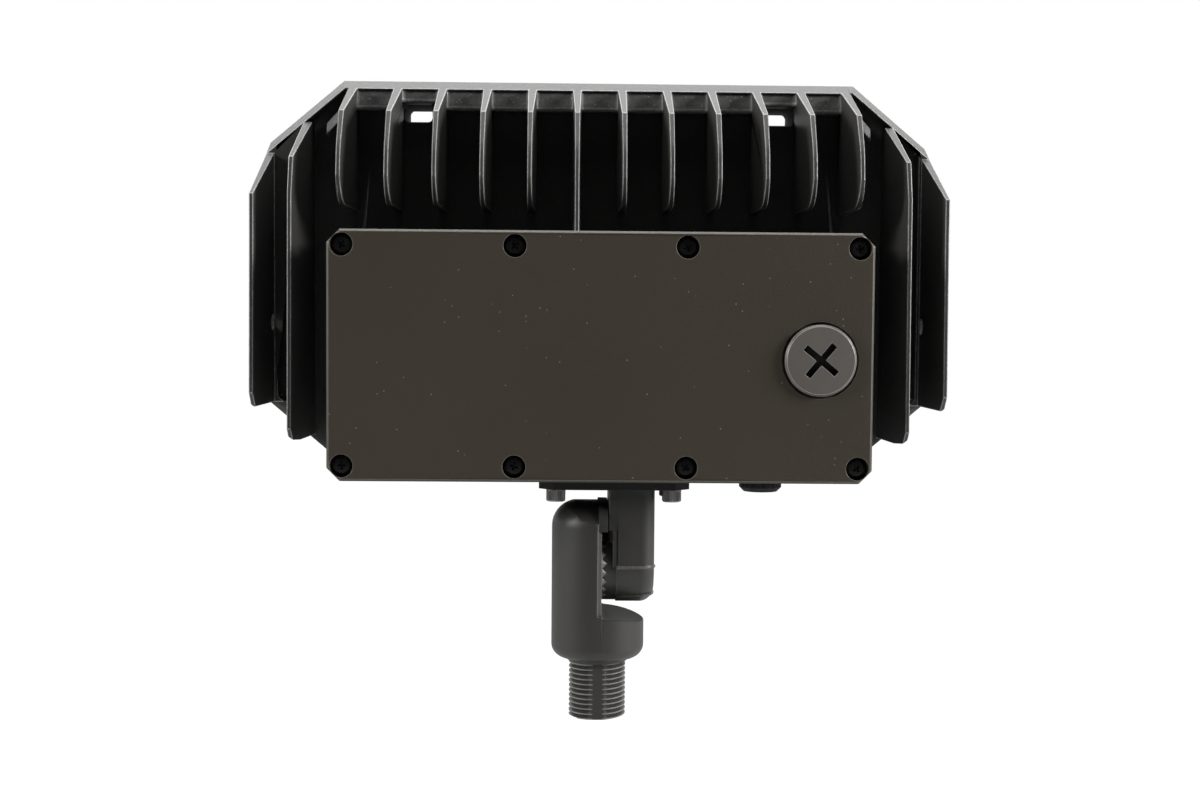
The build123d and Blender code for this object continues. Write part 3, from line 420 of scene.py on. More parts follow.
def make_grain_group():
    """Sprayed or cast surface on Object coordinates.

    Height is fine grain on broader waves, Tone is a slow cloud and Specks is a mask of dust.
    """
    group = bpy.data.node_groups.new("coat_grain", "ShaderNodeTree")
    for name, default in (
        ("Grain Scale", 1500.0), ("Wave Scale", 300.0), ("Wave Share", 0.3), ("Cloud Scale", 25.0),
        ("Speck Scale", 400.0), ("Speck Size", 0.06), ("Speck Rarity", 0.93),
    ):
        group_socket(group, name, "INPUT", default)
    for name in ("Height", "Tone", "Specks"):
        group_socket(group, name, "OUTPUT")
    put, link = group.nodes.new, group.links.new
    inputs = put("NodeGroupInput").outputs
    outputs = put("NodeGroupOutput").inputs
    place = put("ShaderNodeTexCoord").outputs["Object"]

    height = put("ShaderNodeMix")
    link(inputs["Wave Share"], height.inputs["Factor"])
    link(noise(put, link, place, inputs["Grain Scale"], 3.0), height.inputs["A"])
    link(noise(put, link, place, inputs["Wave Scale"], 2.0), height.inputs["B"])
    link(height.outputs["Result"], outputs["Height"])
    link(noise(put, link, place, inputs["Cloud Scale"], 5.0), outputs["Tone"])

    cells = put("ShaderNodeTexVoronoi")
    link(place, cells.inputs["Vector"])
    link(inputs["Speck Scale"], cells.inputs["Scale"])
    near = put("ShaderNodeMath")
    near.operation = "LESS_THAN"
    link(cells.outputs["Distance"], near.inputs[0])
    link(inputs["Speck Size"], near.inputs[1])
    few = put("ShaderNodeMath")
    few.operation = "GREATER_THAN"
    cell_color = put("ShaderNodeSeparateColor")
    link(cells.outputs["Color"], cell_color.inputs["Color"])
    link(cell_color.outputs["Red"], few.inputs[0])
    link(inputs["Speck Rarity"], few.inputs[1])
    both = put("ShaderNodeMath")
    both.operation = "MULTIPLY"
    link(near.outputs[0], both.inputs[0])
    link(few.outputs[0], both.inputs[1])
    link(both.outputs[0], outputs["Specks"])
    return group


grain_group = make_grain_group()


def coat(name, dark, light, speck, roughness, bump, metallic=0.0, **grain_values):
    """Coated or plain finish whose tone wanders between two colours, with grain and specks."""
    material, put, links, shader = new_material(name)
    link = links.new
    grain = put.new("ShaderNodeGroup")
    grain.node_tree = grain_group
    for socket, value in grain_values.items():
        grain.inputs[socket.replace("_", " ").title()].default_value = value
    tone = put.new("ShaderNodeMix")
    tone.data_type = "RGBA"
    tone.inputs["A"].default_value = (*dark, 1.0)
    tone.inputs["B"].default_value = (*light, 1.0)
    link(grain.outputs["Tone"], tone.inputs["Factor"])
    dusty = put.new("ShaderNodeMix")
    dusty.data_type = "RGBA"
    dusty.inputs["B"].default_value = (*speck, 1.0)
    link(grain.outputs["Specks"], dusty.inputs["Factor"])
    link(tone.outputs["Result"], dusty.inputs["A"])
    link(dusty.outputs["Result"], shader.inputs["Base Color"])
    spread = put.new("ShaderNodeMapRange")
    spread.inputs["To Min"].default_value = roughness[0]
    spread.inputs["To Max"].default_value = roughness[1]
    link(grain.outputs["Height"], spread.inputs["Value"])
    link(spread.outputs["Result"], shader.inputs["Roughness"])
    relief = put.new("ShaderNodeBump")
    relief.inputs["Strength"].default_value = 1.0
    relief.inputs["Distance"].default_value = bump
    link(grain.outputs["Height"], relief.inputs["Height"])
    link(relief.outputs["Normal"], shader.inputs["Normal"])
    shader.inputs["Metallic"].default_value = metallic
    return material


# Finishes: dark and light tone, specks, range of roughness, height of the grain, and the grain
casting_coat = coat(
    "bronze_on_rough_casting", (0.027, 0.0262, 0.025), (0.038, 0.037, 0.0355), (0.20, 0.19, 0.18),
    (0.36, 0.54), 0.00014, grain_scale=1300.0, wave_scale=420.0, wave_share=0.4,
    speck_scale=900.0, speck_size=0.12, speck_rarity=0.95,
)
# Painted light: the ledges and corner pads are coloured several times lighter than the rest of the
# casting, standing in for the light that falls on them; the sand-rough grain is their own.
ledge_coat_painted_lit = coat(
    "sand_rough_ledges_painted_lighter_as_lit", (0.042, 0.041, 0.040), (0.14, 0.137, 0.134), (0.5, 0.5, 0.5),
    (0.36, 0.5), 0.0003, grain_scale=1000.0, wave_scale=600.0, wave_share=0.5, cloud_scale=700.0,
    speck_scale=1100.0, speck_size=0.2, speck_rarity=0.9,
)
# Painted highlight: the ledges' round lower edge is coloured lighter still, standing in for the
# light it catches.
ledge_painted_highlight = coat(
    "painted_highlight_on_ledge_edges", (0.10, 0.098, 0.096), (0.42, 0.41, 0.40), (0.6, 0.6, 0.6),
    (0.32, 0.45), 0.0003, grain_scale=1000.0, cloud_scale=900.0,
)
# Edge wear and painted highlight: the casting's bevels are coloured far lighter than its coat,
# partly thin coat on the edges, partly standing in for the light the edges catch.
edge_wear_and_highlight = coat(
    "thin_coat_and_painted_highlight_on_edges", (0.02, 0.02, 0.02), (0.5, 0.49, 0.48), (0.7, 0.7, 0.7),
    (0.30, 0.48), 0.00016, grain_scale=1500.0, wave_share=0.3, cloud_scale=1100.0,
    speck_scale=1200.0, speck_size=0.2, speck_rarity=0.93,
)
cover_coat = coat(
    "bronze_on_cover", (0.0315, 0.0255, 0.0165), (0.0400, 0.0325, 0.0220), (0.20, 0.19, 0.16),
    (0.38, 0.54), 0.00006, grain_scale=1700.0, wave_share=0.25, cloud_scale=14.0,
    speck_scale=420.0, speck_size=0.09, speck_rarity=0.86,
)
# Edge wear and painted highlight on the cover's edge and hole rims.
cover_rim_wear_and_highlight = coat(
    "cover_rims_thin_coat_and_painted_highlight", (0.06, 0.055, 0.045), (0.14, 0.13, 0.11), (0.3, 0.29, 0.27),
    (0.32, 0.45), 0.00005, grain_scale=1700.0, cloud_scale=500.0,
)
knuckle_coat = coat(
    "bronze_on_knuckle", (0.0235, 0.0225, 0.0205), (0.032, 0.031, 0.0285), (0.13, 0.12, 0.11),
    (0.40, 0.50), 0.00005, grain_scale=1800.0, wave_scale=260.0, wave_share=0.3,
)
# Edge wear and painted highlight on the knuckle's bevels and parting line; on the lower teeth's
# outer ends it is painted highlight only, so that the ring of teeth shows.
knuckle_edge_wear_and_highlight = coat(
    "thin_coat_and_painted_highlight_on_knuckle_edges", (0.03, 0.029, 0.027), (0.16, 0.155, 0.15), (0.3, 0.3, 0.3),
    (0.3, 0.45), 0.00008, grain_scale=1800.0, cloud_scale=700.0,
)
# Painted shade: the flange is coloured much darker than the rest of the knuckle, standing in for
# the shade of the overhanging head.
flange_painted_shade = coat(
    "bronze_on_flange_painted_as_shade", (0.008, 0.0075, 0.007), (0.013, 0.0125, 0.012), (0.06, 0.06, 0.06),
    (0.8, 0.92), 0.00005, grain_scale=1800.0,
)
crest_finish = coat(
    "worn_thread_crests", (0.12, 0.115, 0.11), (0.24, 0.235, 0.23), (0.4, 0.4, 0.4),
    (0.28, 0.4), 0.00004, cloud_scale=300.0,
)
# Painted shade: near-black colour inside the plug's cross slots, standing in for the shade in the
# recess.
slot_painted_shade = coat(
    "painted_shade_inside_the_slots", (0.004, 0.004, 0.004), (0.009, 0.009, 0.008), (0.05, 0.05, 0.05),
    (0.5, 0.7), 0.00005,
)
# Painted shade: a dull dark coat for the slot walls, the knuckle's notch and the lower ear's top,
# standing in for the shade in these recesses and under the head.
painted_shade_coat = coat(
    "dull_coat_painted_as_shade", (0.010, 0.0095, 0.009), (0.018, 0.0175, 0.0165), (0.06, 0.06, 0.06),
    (0.78, 0.92), 0.00010, grain_scale=1400.0,
)
plug_bronze = coat(
    "grey_bronze_on_plug", (0.078, 0.071, 0.064), (0.106, 0.098, 0.089), (0.4, 0.38, 0.36),
    (0.34, 0.48), 0.00003, cloud_scale=60.0, speck_scale=500.0, speck_rarity=0.95,
)
# Wear and painted highlight: the plug's rim bevels are coloured much lighter than its face.
plug_edge_finish = coat(
    "worn_and_painted_highlight_rim_on_plug", (0.20, 0.19, 0.18), (0.34, 0.33, 0.31), (0.5, 0.5, 0.5),
    (0.28, 0.4), 0.00003, cloud_scale=300.0,
)
zinc = coat(
    "zinc_plate", (0.26, 0.255, 0.245), (0.44, 0.43, 0.41), (0.12, 0.115, 0.11), (0.26, 0.4),
    0.00002, metallic=1.0,
)
black_steel = coat(
    "black_oxide", (0.012, 0.012, 0.012), (0.03, 0.03, 0.03), (0.1, 0.1, 0.1), (0.3, 0.45), 0.00002,
    metallic=0.6,
)
black_rubber = coat(
    "black_rubber", (0.008, 0.008, 0.008), (0.018, 0.018, 0.018), (0.06, 0.06, 0.055), (0.6, 0.8),
    0.00004,
)
silicone = coat(
    "grey_silicone", (0.25, 0.25, 0.245), (0.36, 0.36, 0.35), (0.5, 0.5, 0.48), (0.5, 0.65),
    0.00003,
)
nylon = coat(
    "black_nylon", (0.006, 0.006, 0.006), (0.010, 0.010, 0.010), (0.05, 0.05, 0.05), (0.75, 0.88),
    0.00003,
)
driver_skin = coat(
    "driver_case", (0.5, 0.5, 0.48), (0.62, 0.62, 0.6), (0.3, 0.3, 0.3), (0.35, 0.5), 0.00003,
)
red_skin = coat(
    "lead_insulation", (0.3, 0.015, 0.01), (0.42, 0.03, 0.02), (0.5, 0.3, 0.3), (0.35, 0.45),
    0.00002,
)
orange_shell = coat(
    "connector_shell", (0.6, 0.2, 0.02), (0.75, 0.28, 0.03), (0.8, 0.5, 0.3), (0.25, 0.35), 0.00002,
)
solder_mask = coat(
    "white_solder_mask", (0.70, 0.70, 0.68), (0.78, 0.78, 0.76), (0.5, 0.5, 0.45), (0.3, 0.42),
    0.00001,
)
chip_ceramic = coat(
    "chip_ceramic", (0.74, 0.73, 0.68), (0.80, 0.79, 0.75), (0.6, 0.6, 0.55), (0.35, 0.5), 0.00001,
)
phosphor = coat(
    "chip_phosphor", (0.72, 0.46, 0.06), (0.80, 0.56, 0.10), (0.85, 0.7, 0.3), (0.12, 0.22),
    0.00001,
)
reflector_white = coat(
    "reflector_white", (0.76, 0.76, 0.74), (0.82, 0.82, 0.80), (0.6, 0.6, 0.58), (0.3, 0.4),
    0.00001,
)
ledge_finishes = [ledge_coat_painted_lit, ledge_painted_highlight]
knuckle_finishes = [knuckle_coat, knuckle_edge_wear_and_highlight]


def make_glass():
    """Clear tempered glass with a faint green tint and light dust."""
    material, put, links, shader = new_material("tempered_glass")
    grain = put.new("ShaderNodeGroup")
    grain.node_tree = grain_group
    spread = put.new("ShaderNodeMapRange")
    spread.inputs["To Min"].default_value = 0.0
    spread.inputs["To Max"].default_value = 0.06
    links.new(grain.outputs["Tone"], spread.inputs["Value"])
    links.new(spread.outputs["Result"], shader.inputs["Roughness"])
    shader.inputs["Base Color"].default_value = (0.93, 0.98, 0.95, 1.0)
    shader.inputs["Transmission Weight"].default_value = 1.0
    shader.inputs["IOR"].default_value = 1.5
    return material


glass = make_glass()

node_finishes = {
    "lower_knuckle": knuckle_coat, "upper_knuckle": knuckle_coat, "heatsink_housing": casting_coat,
    "rear_cover": cover_coat, "front_frame": casting_coat, "port_plug": plug_bronze,
    "clamp_bolt": zinc, "clamp_washer": zinc, "flange_screws": zinc, "flange_washers": zinc,
    "driver_screws": zinc, "board_screws": zinc, "cover_screws": black_steel,
    "frame_screws": black_steel, "wire_seal": black_rubber, "flange_gasket": black_rubber,
    "plug_seal": black_rubber, "vent_seal": black_rubber, "cover_gasket": silicone,
    "glass_gasket": silicone, "vent_plug": nylon, "led_driver": driver_skin,
    "output_leads": red_skin, "wire_connectors": orange_shell, "led_board": solder_mask,
    "led_chips": phosphor, "reflector": reflector_white, "front_glass": glass,
}
for name, finish in node_finishes.items():
    give_finishes(nodes[name], [finish])


def round_fin_feet(casting):
    """Takes the short fins' feet away in a wide curve above the driver box, bar one fin's."""
    foot_round, foot_level = 0.0140, 0.167
    kept_depth, kept_height = 0.0650, 0.0400
    kept_y, kept_z = 0.02785, 0.1864
    cut_depth, cut_y, cut_top = 0.0499, 0.01695, 0.1804
    fins_end, above_box, end_fin_foot = 0.0990, 0.15525, 0.1535
    for side, inner, outer, bottom, name in (
        (-1, 0.0175, fins_end, above_box, "left_fins"),
        (1, 0.0, fins_end, above_box, "right_fins"),
        (-1, 0.0963, 0.0992, end_fin_foot, "left_end_fin"),
        (1, 0.0963, 0.0992, end_fin_foot, "right_end_fin"),
    ):
        width = outer - inner
        middle = side * (inner + width / 2)
        kept = block(name + "_kept", (2 * width, kept_depth, kept_height), (middle, kept_y, kept_z))
        edit(kept, "EDGE")
        pick(kept, "EDGE", lambda place: place.y < 0 and place.z < foot_level)
        bpy.ops.mesh.bevel(offset=foot_round, segments=10, profile=0.5)
        done()
        cut = block(
            name + "_cut", (width, cut_depth, cut_top - bottom),
            (middle, cut_y, (cut_top + bottom) / 2),
        )
        carve(cut, kept)
        carve(casting, cut)


def make_casting():
    """Finned housing: the CAD casting with its rear edges rounded as die-cast metal is."""
    slot_reach_x, slot_reach_z = 0.0058, 0.004

    def behind_the_seat(place):
        """True on the fins and rim, apart from the faces with holes in them."""
        inside = abs(place.x) < joined_inside_x and place.z < joined_inside_top
        return place.y < joined_front and not inside

    def left_sharp(place):
        """True in the driver box, in front of the seat and where fins meet the base or the rim."""
        inside = abs(place.x) < box_inside_x and place.z < box_inside_top
        below_rim = place.z < rim_corner_z - rim_fall * (abs(place.x) - rim_corner_x)
        at_long_fin = below_rim and within(place, top_of_long_fins)
        in_zone = any(within(place, zone) for zone in (base_plate, rim_by_end_fins, by_end_fins))
        return place.y > casting_front or inside or at_long_fin or in_zone

    def in_slot(face):
        """True on the walls of the two through slots."""
        place = face.center
        beside = abs(abs(place.x) - slot_x) < slot_reach_x and abs(place.z - slot_z) < slot_reach_z
        return beside and place.y > seat_rear

    casting = node_copy("finned_casting", "heatsink_housing", behind_the_seat, tiny_edge=0.0002)
    round_fin_feet(casting)
    round_edges(casting, casting_edge, left_sharp)
    # Painted shade: the slot walls take the dark third finish.
    paint(casting, 2, in_slot)
    smooth(casting, 20.0)
    settle(
        casting, [casting_coat, edge_wear_and_highlight, painted_shade_coat], "head", "bronze_coat", "heatsink_housing"
    )


def make_ledge(name, width, bottom):
    """Sloping sand-rough ledge with a round lower edge and flared ends, in the middle channel,
    coloured lighter as painted light.
    """
    top, depth, middle_y = 0.2131, 0.0050, 0.0402
    rear, lower_part = 0.038, 0.001
    flare_width, flare_end, flare_depth = 0.0015, 0.001, 0.0012
    lower_round = 0.0016
    height = top - bottom
    ledge = block(name, (width, depth, height), (0, middle_y, bottom + height / 2))
    give_finishes(ledge, ledge_finishes)
    edit(ledge)
    for end in (-1, 1):
        split((end * (width / 2 - flare_width), 0, 0), (1, 0, 0))
    pick(ledge, "VERT", lambda place: place.y < rear and place.z < bottom + lower_part)
    bpy.ops.transform.translate(value=(0, -height / 4, 0))
    pick(ledge, "VERT", lambda place: abs(place.x) > width / 2 - flare_end and place.y < rear)
    bpy.ops.transform.translate(value=(0, -flare_depth, 0))
    pick(ledge, "EDGE", lambda place: place.y < rear and place.z < bottom + lower_part)
    # The round lower edge takes the painted highlight.
    bpy.ops.mesh.bevel(offset=lower_round, segments=4, material=1)
    done()
    smooth(ledge, 60.0)
    return ledge


def make_ledges():
    """Ledges at the top of the channels, shorter above the slots, numbered from the left."""
    middle_number = 6
    open_cells = [-5, -3, -2, -1, 0, 1, 2, 3, 5]
    for width, bottom, cells, name in (
        (0.0146, 0.2052, open_cells, "channel_ledge"),
        (0.0140, 0.2081, [-slot_cell, slot_cell], "slot_ledge"),
    ):
        ledge = make_ledge(name, width, bottom)
        for cell in cells:
            placed = twin(ledge, f"{name}_{cell + middle_number}", (cell * fin_pitch, 0, 0))
            settle(placed, ledge_finishes, "head", "bronze_coat", "heatsink_housing")
        bpy.data.objects.remove(ledge)


def make_cover():
    """Rear cover with its edge and the rims of its holes softened by the coating, their bevels
    lighter as thin coat and painted highlight.
    """
    cover = node_copy("cover_plate", "rear_cover")
    round_edges(cover, plate_edge, lambda place: place.y > plate_back)
    smooth(cover, 20.0)
    settle(cover, [cover_coat, cover_rim_wear_and_highlight], "head", "bronze_coat", "rear_cover")


def make_corner_pads():
    """Pads under the rim's two upper corners, which lean back and fall away with the rim, coloured
    lighter as painted light.
    """
    pad_x, pad_y, pad_z, pad_size = 0.1015, 0.0404, 0.2072, (0.0090, 0.0060, 0.0052)
    outer_fall, lean, pad_round = 0.0097, 0.0018, 0.0007
    rear, rear_edges, slope_top, slope = 0.038, 0.0385, 0.3120, 1.08
    for side, name in ((-1, "left_corner_pad"), (1, "right_corner_pad")):
        pad = block(name, pad_size, (side * pad_x, pad_y, pad_z))
        edit(pad)
        pick(pad, "VERT", lambda place: abs(place.x) > pad_x)
        bpy.ops.transform.translate(value=(0, 0, -outer_fall))
        pick(
            pad, "VERT",
            lambda place: place.y < rear and place.z < slope_top - slope * abs(place.x),
        )
        bpy.ops.transform.translate(value=(0, -lean, 0))
        pick(pad, "EDGE", lambda place: place.y < rear_edges)
        bpy.ops.mesh.bevel(offset=pad_round, segments=3)
        done()
        smooth(pad, 50.0)
        settle(pad, [ledge_coat_painted_lit], "head", "bronze_coat", "heatsink_housing")


def make_plug():
    """Cross-slot plug with a softened rim lighter as wear and painted highlight, its slots cut
    longer and painted dark inside as shade.
    """
    slot_size, slot_turns, plug_turn = (0.0146, 0.0067, 0.0024), (-42, 48), -8
    slot_reach, below_face = 0.0085, 0.0003

    def in_slot(face):
        """True on the walls and floor of the cross."""
        inward = face.center - plug_centre
        return inward.y > below_face and inward.length < slot_reach

    plug = node_copy("cross_slot_plug", "port_plug")
    for turn in slot_turns:
        slot = block("long_slot", slot_size)
        slot.rotation_euler.y = radians(turn)
        slot.location = plug_centre
        carve(plug, slot)
    round_edges(plug, plug_edge, lambda place: place.y > plug_seat)
    # Painted shade on the walls and floor of the cross.
    paint(plug, 2, in_slot)
    smooth(plug, 20.0)
    plug.rotation_euler.y = radians(plug_turn)
    plug.location = plug_centre - plug.rotation_euler.to_matrix() @ plug_centre
    settle(plug, [plug_bronze, plug_edge_finish, slot_painted_shade], "head", "plug_coat", "port_plug")


def near_teeth(place):
    """True on the ring of teeth between the two ears."""
    return teeth_low_x < place.x < teeth_high_x and from_pivot(place) < teeth_radius


def ear_dome(name):
    """Turned body of the lower knuckle, its top edge rounded, taller than it is wide."""
    round_x, round_z = 0.0077, 0.0486
    side, bottom = 0.01715, -0.001
    arc = [
        (round_x + ear_round * cos(radians(angle)), round_z + ear_round * sin(radians(angle)))
        for angle in range(0, 91, 9)
    ]
    return turned(name, [(0, bottom), (side, bottom), *arc, (0, round_z + ear_round)], 64)


def make_knuckle_casting():
    """Lower knuckle above its shoulder, its outer edges rounded."""
    tooth_ends, upward = 0.0131, 0.3

    def notch_ledge(face):
        """True on the upward faces of the notch, away from the teeth."""
        in_notch = face.center.x > notch_face - merge_distance and not near_teeth(face.center)
        return in_notch and face.center.z > trough_floor and face.normal.z > upward

    casting = node_copy("knuckle_casting", "lower_knuckle")
    edit(casting)
    split((0, 0, -merge_distance), (0, 0, 1), clear_inner=True)
    bpy.ops.mesh.select_all(action="DESELECT")
    bpy.ops.mesh.select_non_manifold(
        extend=False, use_wire=False, use_boundary=True, use_multi_face=False,
        use_non_contiguous=False, use_verts=False,
    )
    bpy.ops.mesh.bridge_edge_loops()
    done()
    round_edges(
        casting, knuckle_edge, lambda place: near_teeth(place) or from_axis(place) < knuckle_inside
    )
    carve(casting, ear_dome("ear_dome"), "INTERSECT")
    # Painted shade: the notch's upward faces take the dark third finish.
    paint(casting, 2, notch_ledge)
    # Painted highlight: the lower teeth's outer ends take the lighter edge finish.
    paint(
        casting, 1,
        lambda face: near_teeth(face.center) and from_pivot(face.center) > tooth_ends,
    )
    smooth(casting, 30.0)
    settle(casting, [*knuckle_finishes, painted_shade_coat], "knuckle_base", "bronze_coat", "lower_knuckle")


def make_ear_lip():
    """Top of the lower ear, which reaches over the teeth to the arm's inner face, painted dark as
    shade under the head.
    """
    lip_size, lip_middle = (0.0034, 0.0335, 0.0105), (0.0016, 0, 0.0533)
    lip = block("ear_lip", lip_size, lip_middle)
    carve(lip, ear_dome("lip_dome"), "INTERSECT")
    smooth(lip, 30.0)
    settle(lip, [painted_shade_coat], "knuckle_base", "bronze_coat", "lower_knuckle")


def make_arm_web():
    """Front and back of the arm's inner edge, flush with the arm, stepped back beside the teeth."""
    arm_x, wall, wall_y = 0.0070, 0.003, 0.0124
    corner_round, corner_reach, corner_y = 0.0005, 0.0004, 0.0135
    for side, end in ((-1, "rear"), (1, "front")):
        for name, edge, bottom, top in (
            ("arm_web_", 0.0036, 0.0484, 0.0634), ("ear_web_", 0.0050, 0.0350, 0.0486),
        ):
            web = block(
                name + end, (arm_x - edge, wall, top - bottom),
                ((arm_x + edge) / 2, side * wall_y, (top + bottom) / 2),
            )
            give_finishes(web, knuckle_finishes)
            edit(web, "EDGE")
            pick(
                web, "EDGE",
                lambda place: place.x < edge + corner_reach and abs(place.y) > corner_y,
            )
            bpy.ops.mesh.bevel(offset=corner_round, segments=3, material=1)
            done()
            smooth(web)
            settle(web, knuckle_finishes, "head", "bronze_coat", "upper_knuckle")


def make_upper_knuckle():
    """Upper ear, arm and flange with rounded outer edges and a parting line lighter as thin coat
    and painted highlight; the flange is painted dark as shade.
    """
    parting_y, parting_x, arm_top = 0.01394, 0.02045, 0.060

    def on_parting(face):
        """True on the outermost faces of the ear and arm."""
        outermost = abs(face.center.y) > parting_y or face.center.x > parting_x
        return outermost and face.center.z < arm_top

    casting = node_copy("flanged_ear", "upper_knuckle")
    round_edges(
        casting, knuckle_edge,
        lambda place: near_teeth(place) or place.z > flange_underside + merge_distance,
    )
    # The parting line takes the lighter edge finish: thin coat and painted highlight.
    paint(casting, 1, on_parting)
    # Painted shade on the flange's faces.
    paint(casting, 2, lambda face: face.center.z > flange_underside - merge_distance)
    smooth(casting, 24.0)
    settle(casting, [*knuckle_finishes, flange_painted_shade], "head", "bronze_coat", "upper_knuckle")


def add_ring(radius, height):
    """Adds a plain circle of edges to the piece that is open in edit mode."""
    bpy.ops.mesh.select_all(action="DESELECT")
    bpy.ops.mesh.primitive_circle_add(
        vertices=ring_steps, radius=radius, fill_type="NOTHING", location=(0, 0, height)
    )


def make_nipple():
    """Conduit nipple: a wound thread, cut to length, with two smooth flats, a neck and a bore."""
    turns, crest_from, crest_to = 13, 0.38, 0.62
    end_share, neck_slope, ring_tolerance = 0.94, 0.0004, 0.0001
    end_inside, end_outside = nipple_bore + 0.001, neck_radius - 0.00048

    def on_ring(place, radius, height):
        """True on the plain circle of this radius and height."""
        at_height = abs(place.z - height) < cut_tolerance
        return at_height and abs(from_axis(place) - radius) < ring_tolerance

    def thread_end(place, height):
        """True on the thread's cut end at this height."""
        return abs(place.z - height) < cut_tolerance and end_inside < from_axis(place) < end_outside

    root = nipple_radius - thread_depth
    start = nipple_bottom - thread_pitch
    nipple = line_of("threaded_nipple", [
        (root, 0, start),
        (nipple_radius, 0, start + crest_from * thread_pitch),
        (nipple_radius, 0, start + crest_to * thread_pitch),
        (root, 0, start + thread_pitch),
    ])
    winding = nipple.modifiers.new("winding", "SCREW")
    winding.screw_offset = thread_pitch
    winding.iterations = turns
    winding.steps = winding.render_steps = ring_steps
    only(nipple)
    bpy.ops.object.modifier_apply(modifier="winding")
    edit(nipple)
    bpy.ops.mesh.select_all(action="SELECT")
    bpy.ops.mesh.remove_doubles(threshold=merge_distance)
    split((0, 0, nipple_bottom), (0, 0, 1), clear_inner=True)
    split((0, 0, neck_bottom), (0, 0, 1), clear_outer=True)
    for side in (-1, 1):
        pick(nipple, "VERT", lambda place: abs(place.x) < flat_half_width and place.y * side > 0)
        bpy.ops.transform.resize(value=(1, 0, 1), center_override=(0, side * flat_face, 0))
    pick(nipple, "VERT", lambda place: place.z < nipple_bottom + cut_tolerance)
    shrink(end_share)
    rings = [
        (nipple_bore, nipple_bottom), (nipple_bore, 0.0), (neck_radius, 0.0),
        (neck_radius - neck_slope, neck_bottom),
    ]
    for radius, height in rings:
        add_ring(radius, height)
    for first, second in zip(rings, rings[1:]):
        pick(nipple, "VERT", lambda place: on_ring(place, *first) or on_ring(place, *second))
        bpy.ops.mesh.bridge_edge_loops()
    for height, ring in ((nipple_bottom, rings[0]), (neck_bottom, rings[-1])):
        pick(nipple, "VERT", lambda place: thread_end(place, height) or on_ring(place, *ring))
        bpy.ops.mesh.bridge_edge_loops()
    bpy.ops.mesh.select_all(action="SELECT")
    bpy.ops.mesh.normals_make_consistent(inside=False)
    done()
    nipple_finishes = [knuckle_coat, crest_finish]
    give_finishes(nipple, nipple_finishes)
    paint(
        nipple, 1,
        lambda face: from_axis(face.center) > thread_crest and face.center.z < neck_bottom,
    )
    smooth(nipple, 20.0)
    settle(nipple, nipple_finishes, "knuckle_base", "bronze_coat", "lower_knuckle")


def corner_number(place, step):
    """Number of the nearest corner of a round bar, counted round Z in steps of this angle."""
    return round(atan2(place.y, place.x) / step)


def socket_screw(name, head_radius, head_height, shank_radius, reach, socket, ridges):
    """Socket-head screw on Z, head up from Z = 0: a knurled bar, drawn out to a shank."""
    step, knurl_share, tip_share = pi / ridges, 0.95, 0.8
    rim = head_radius - screw_edge / 2
    screw = round_bar(name, head_radius, head_height, (0, 0, head_height / 2), 2 * ridges)
    edit(screw, "FACE")
    pick(screw, "FACE", lambda face: abs(face.normal.z) > 0.9)
    bpy.ops.mesh.inset(thickness=screw_edge, use_individual=True)
    pick(screw, "VERT", lambda place: from_axis(place) > rim)
    bpy.ops.transform.resize(value=(1, 1, 1 - screw_edge / head_height), center_override=(0, 0, 0))
    pick(
        screw, "VERT",
        lambda place: from_axis(place) > rim and corner_number(place, step) % 2 == 0,
    )
    shrink(knurl_share)
    pick(screw, "FACE", lambda face: face.normal.z < -0.9 and len(face.vertices) > 8)
    bpy.ops.mesh.inset(thickness=head_radius - screw_edge - shank_radius)
    draw_out((0, 0, screw_edge - reach))
    draw_out((0, 0, -screw_edge))
    bpy.ops.transform.resize(value=(tip_share, tip_share, 1))
    done()
    carve(screw, round_bar("socket", socket / 3 ** 0.5, head_height, (0, 0, head_height), 6))
    smooth(screw, 20.0)
    return screw


def make_spring_washer():
    """Split spring washer on Z, its wire wound almost once round."""
    wire_middle, wire_width, wire_height, wound = 0.0028, 0.0014, 0.00088, 345
    bpy.ops.object.select_all(action="DESELECT")
    bpy.ops.mesh.primitive_plane_add(
        size=1.0, location=(wire_middle, 0, 0), rotation=(pi / 2, 0, 0)
    )
    washer = bpy.context.object
    washer.name = "spring_washer"
    washer.scale = (wire_width, wire_height, 1.0)
    apply_place()
    edit(washer)
    bpy.ops.mesh.select_all(action="SELECT")
    bpy.ops.mesh.spin(steps=40, angle=radians(wound), center=(0, 0, 0), axis=(0, 0, 1))
    close_up()
    smooth(washer)
    return washer


def make_flange_fasteners():
    """Four knurled socket screws, heads down, each on a split spring washer."""
    screw = socket_screw(
        "flange_screw", head_radius=0.0035, head_height=0.004, shank_radius=0.002, reach=0.012,
        socket=0.003, ridges=36,
    )
    washer = make_spring_washer()
    washer_z = (flange_screw_seat + flange_underside) / 2
    screw_step, split_step, first_split = 7, 80, 200
    places = [
        (flange_middle + side * flange_screw_x, end * flange_screw_y)
        for side in (-1, 1) for end in (-1, 1)
    ]
    for index, (x, y) in enumerate(places):
        placed = twin(
            screw, f"flange_screw_{index + 1}", (x, y, flange_screw_seat),
            (180, 0, screw_step * index),
        )
        settle(placed, [zinc], "head", "zinc_steel", "flange_screws")
        ring = twin(
            washer, f"spring_washer_{index + 1}", (x, y, washer_z),
            (0, 0, split_step * index + first_split),
        )
        settle(ring, [zinc], "head", "zinc_steel", "flange_washers")
    bpy.data.objects.remove(screw)
    bpy.data.objects.remove(washer)


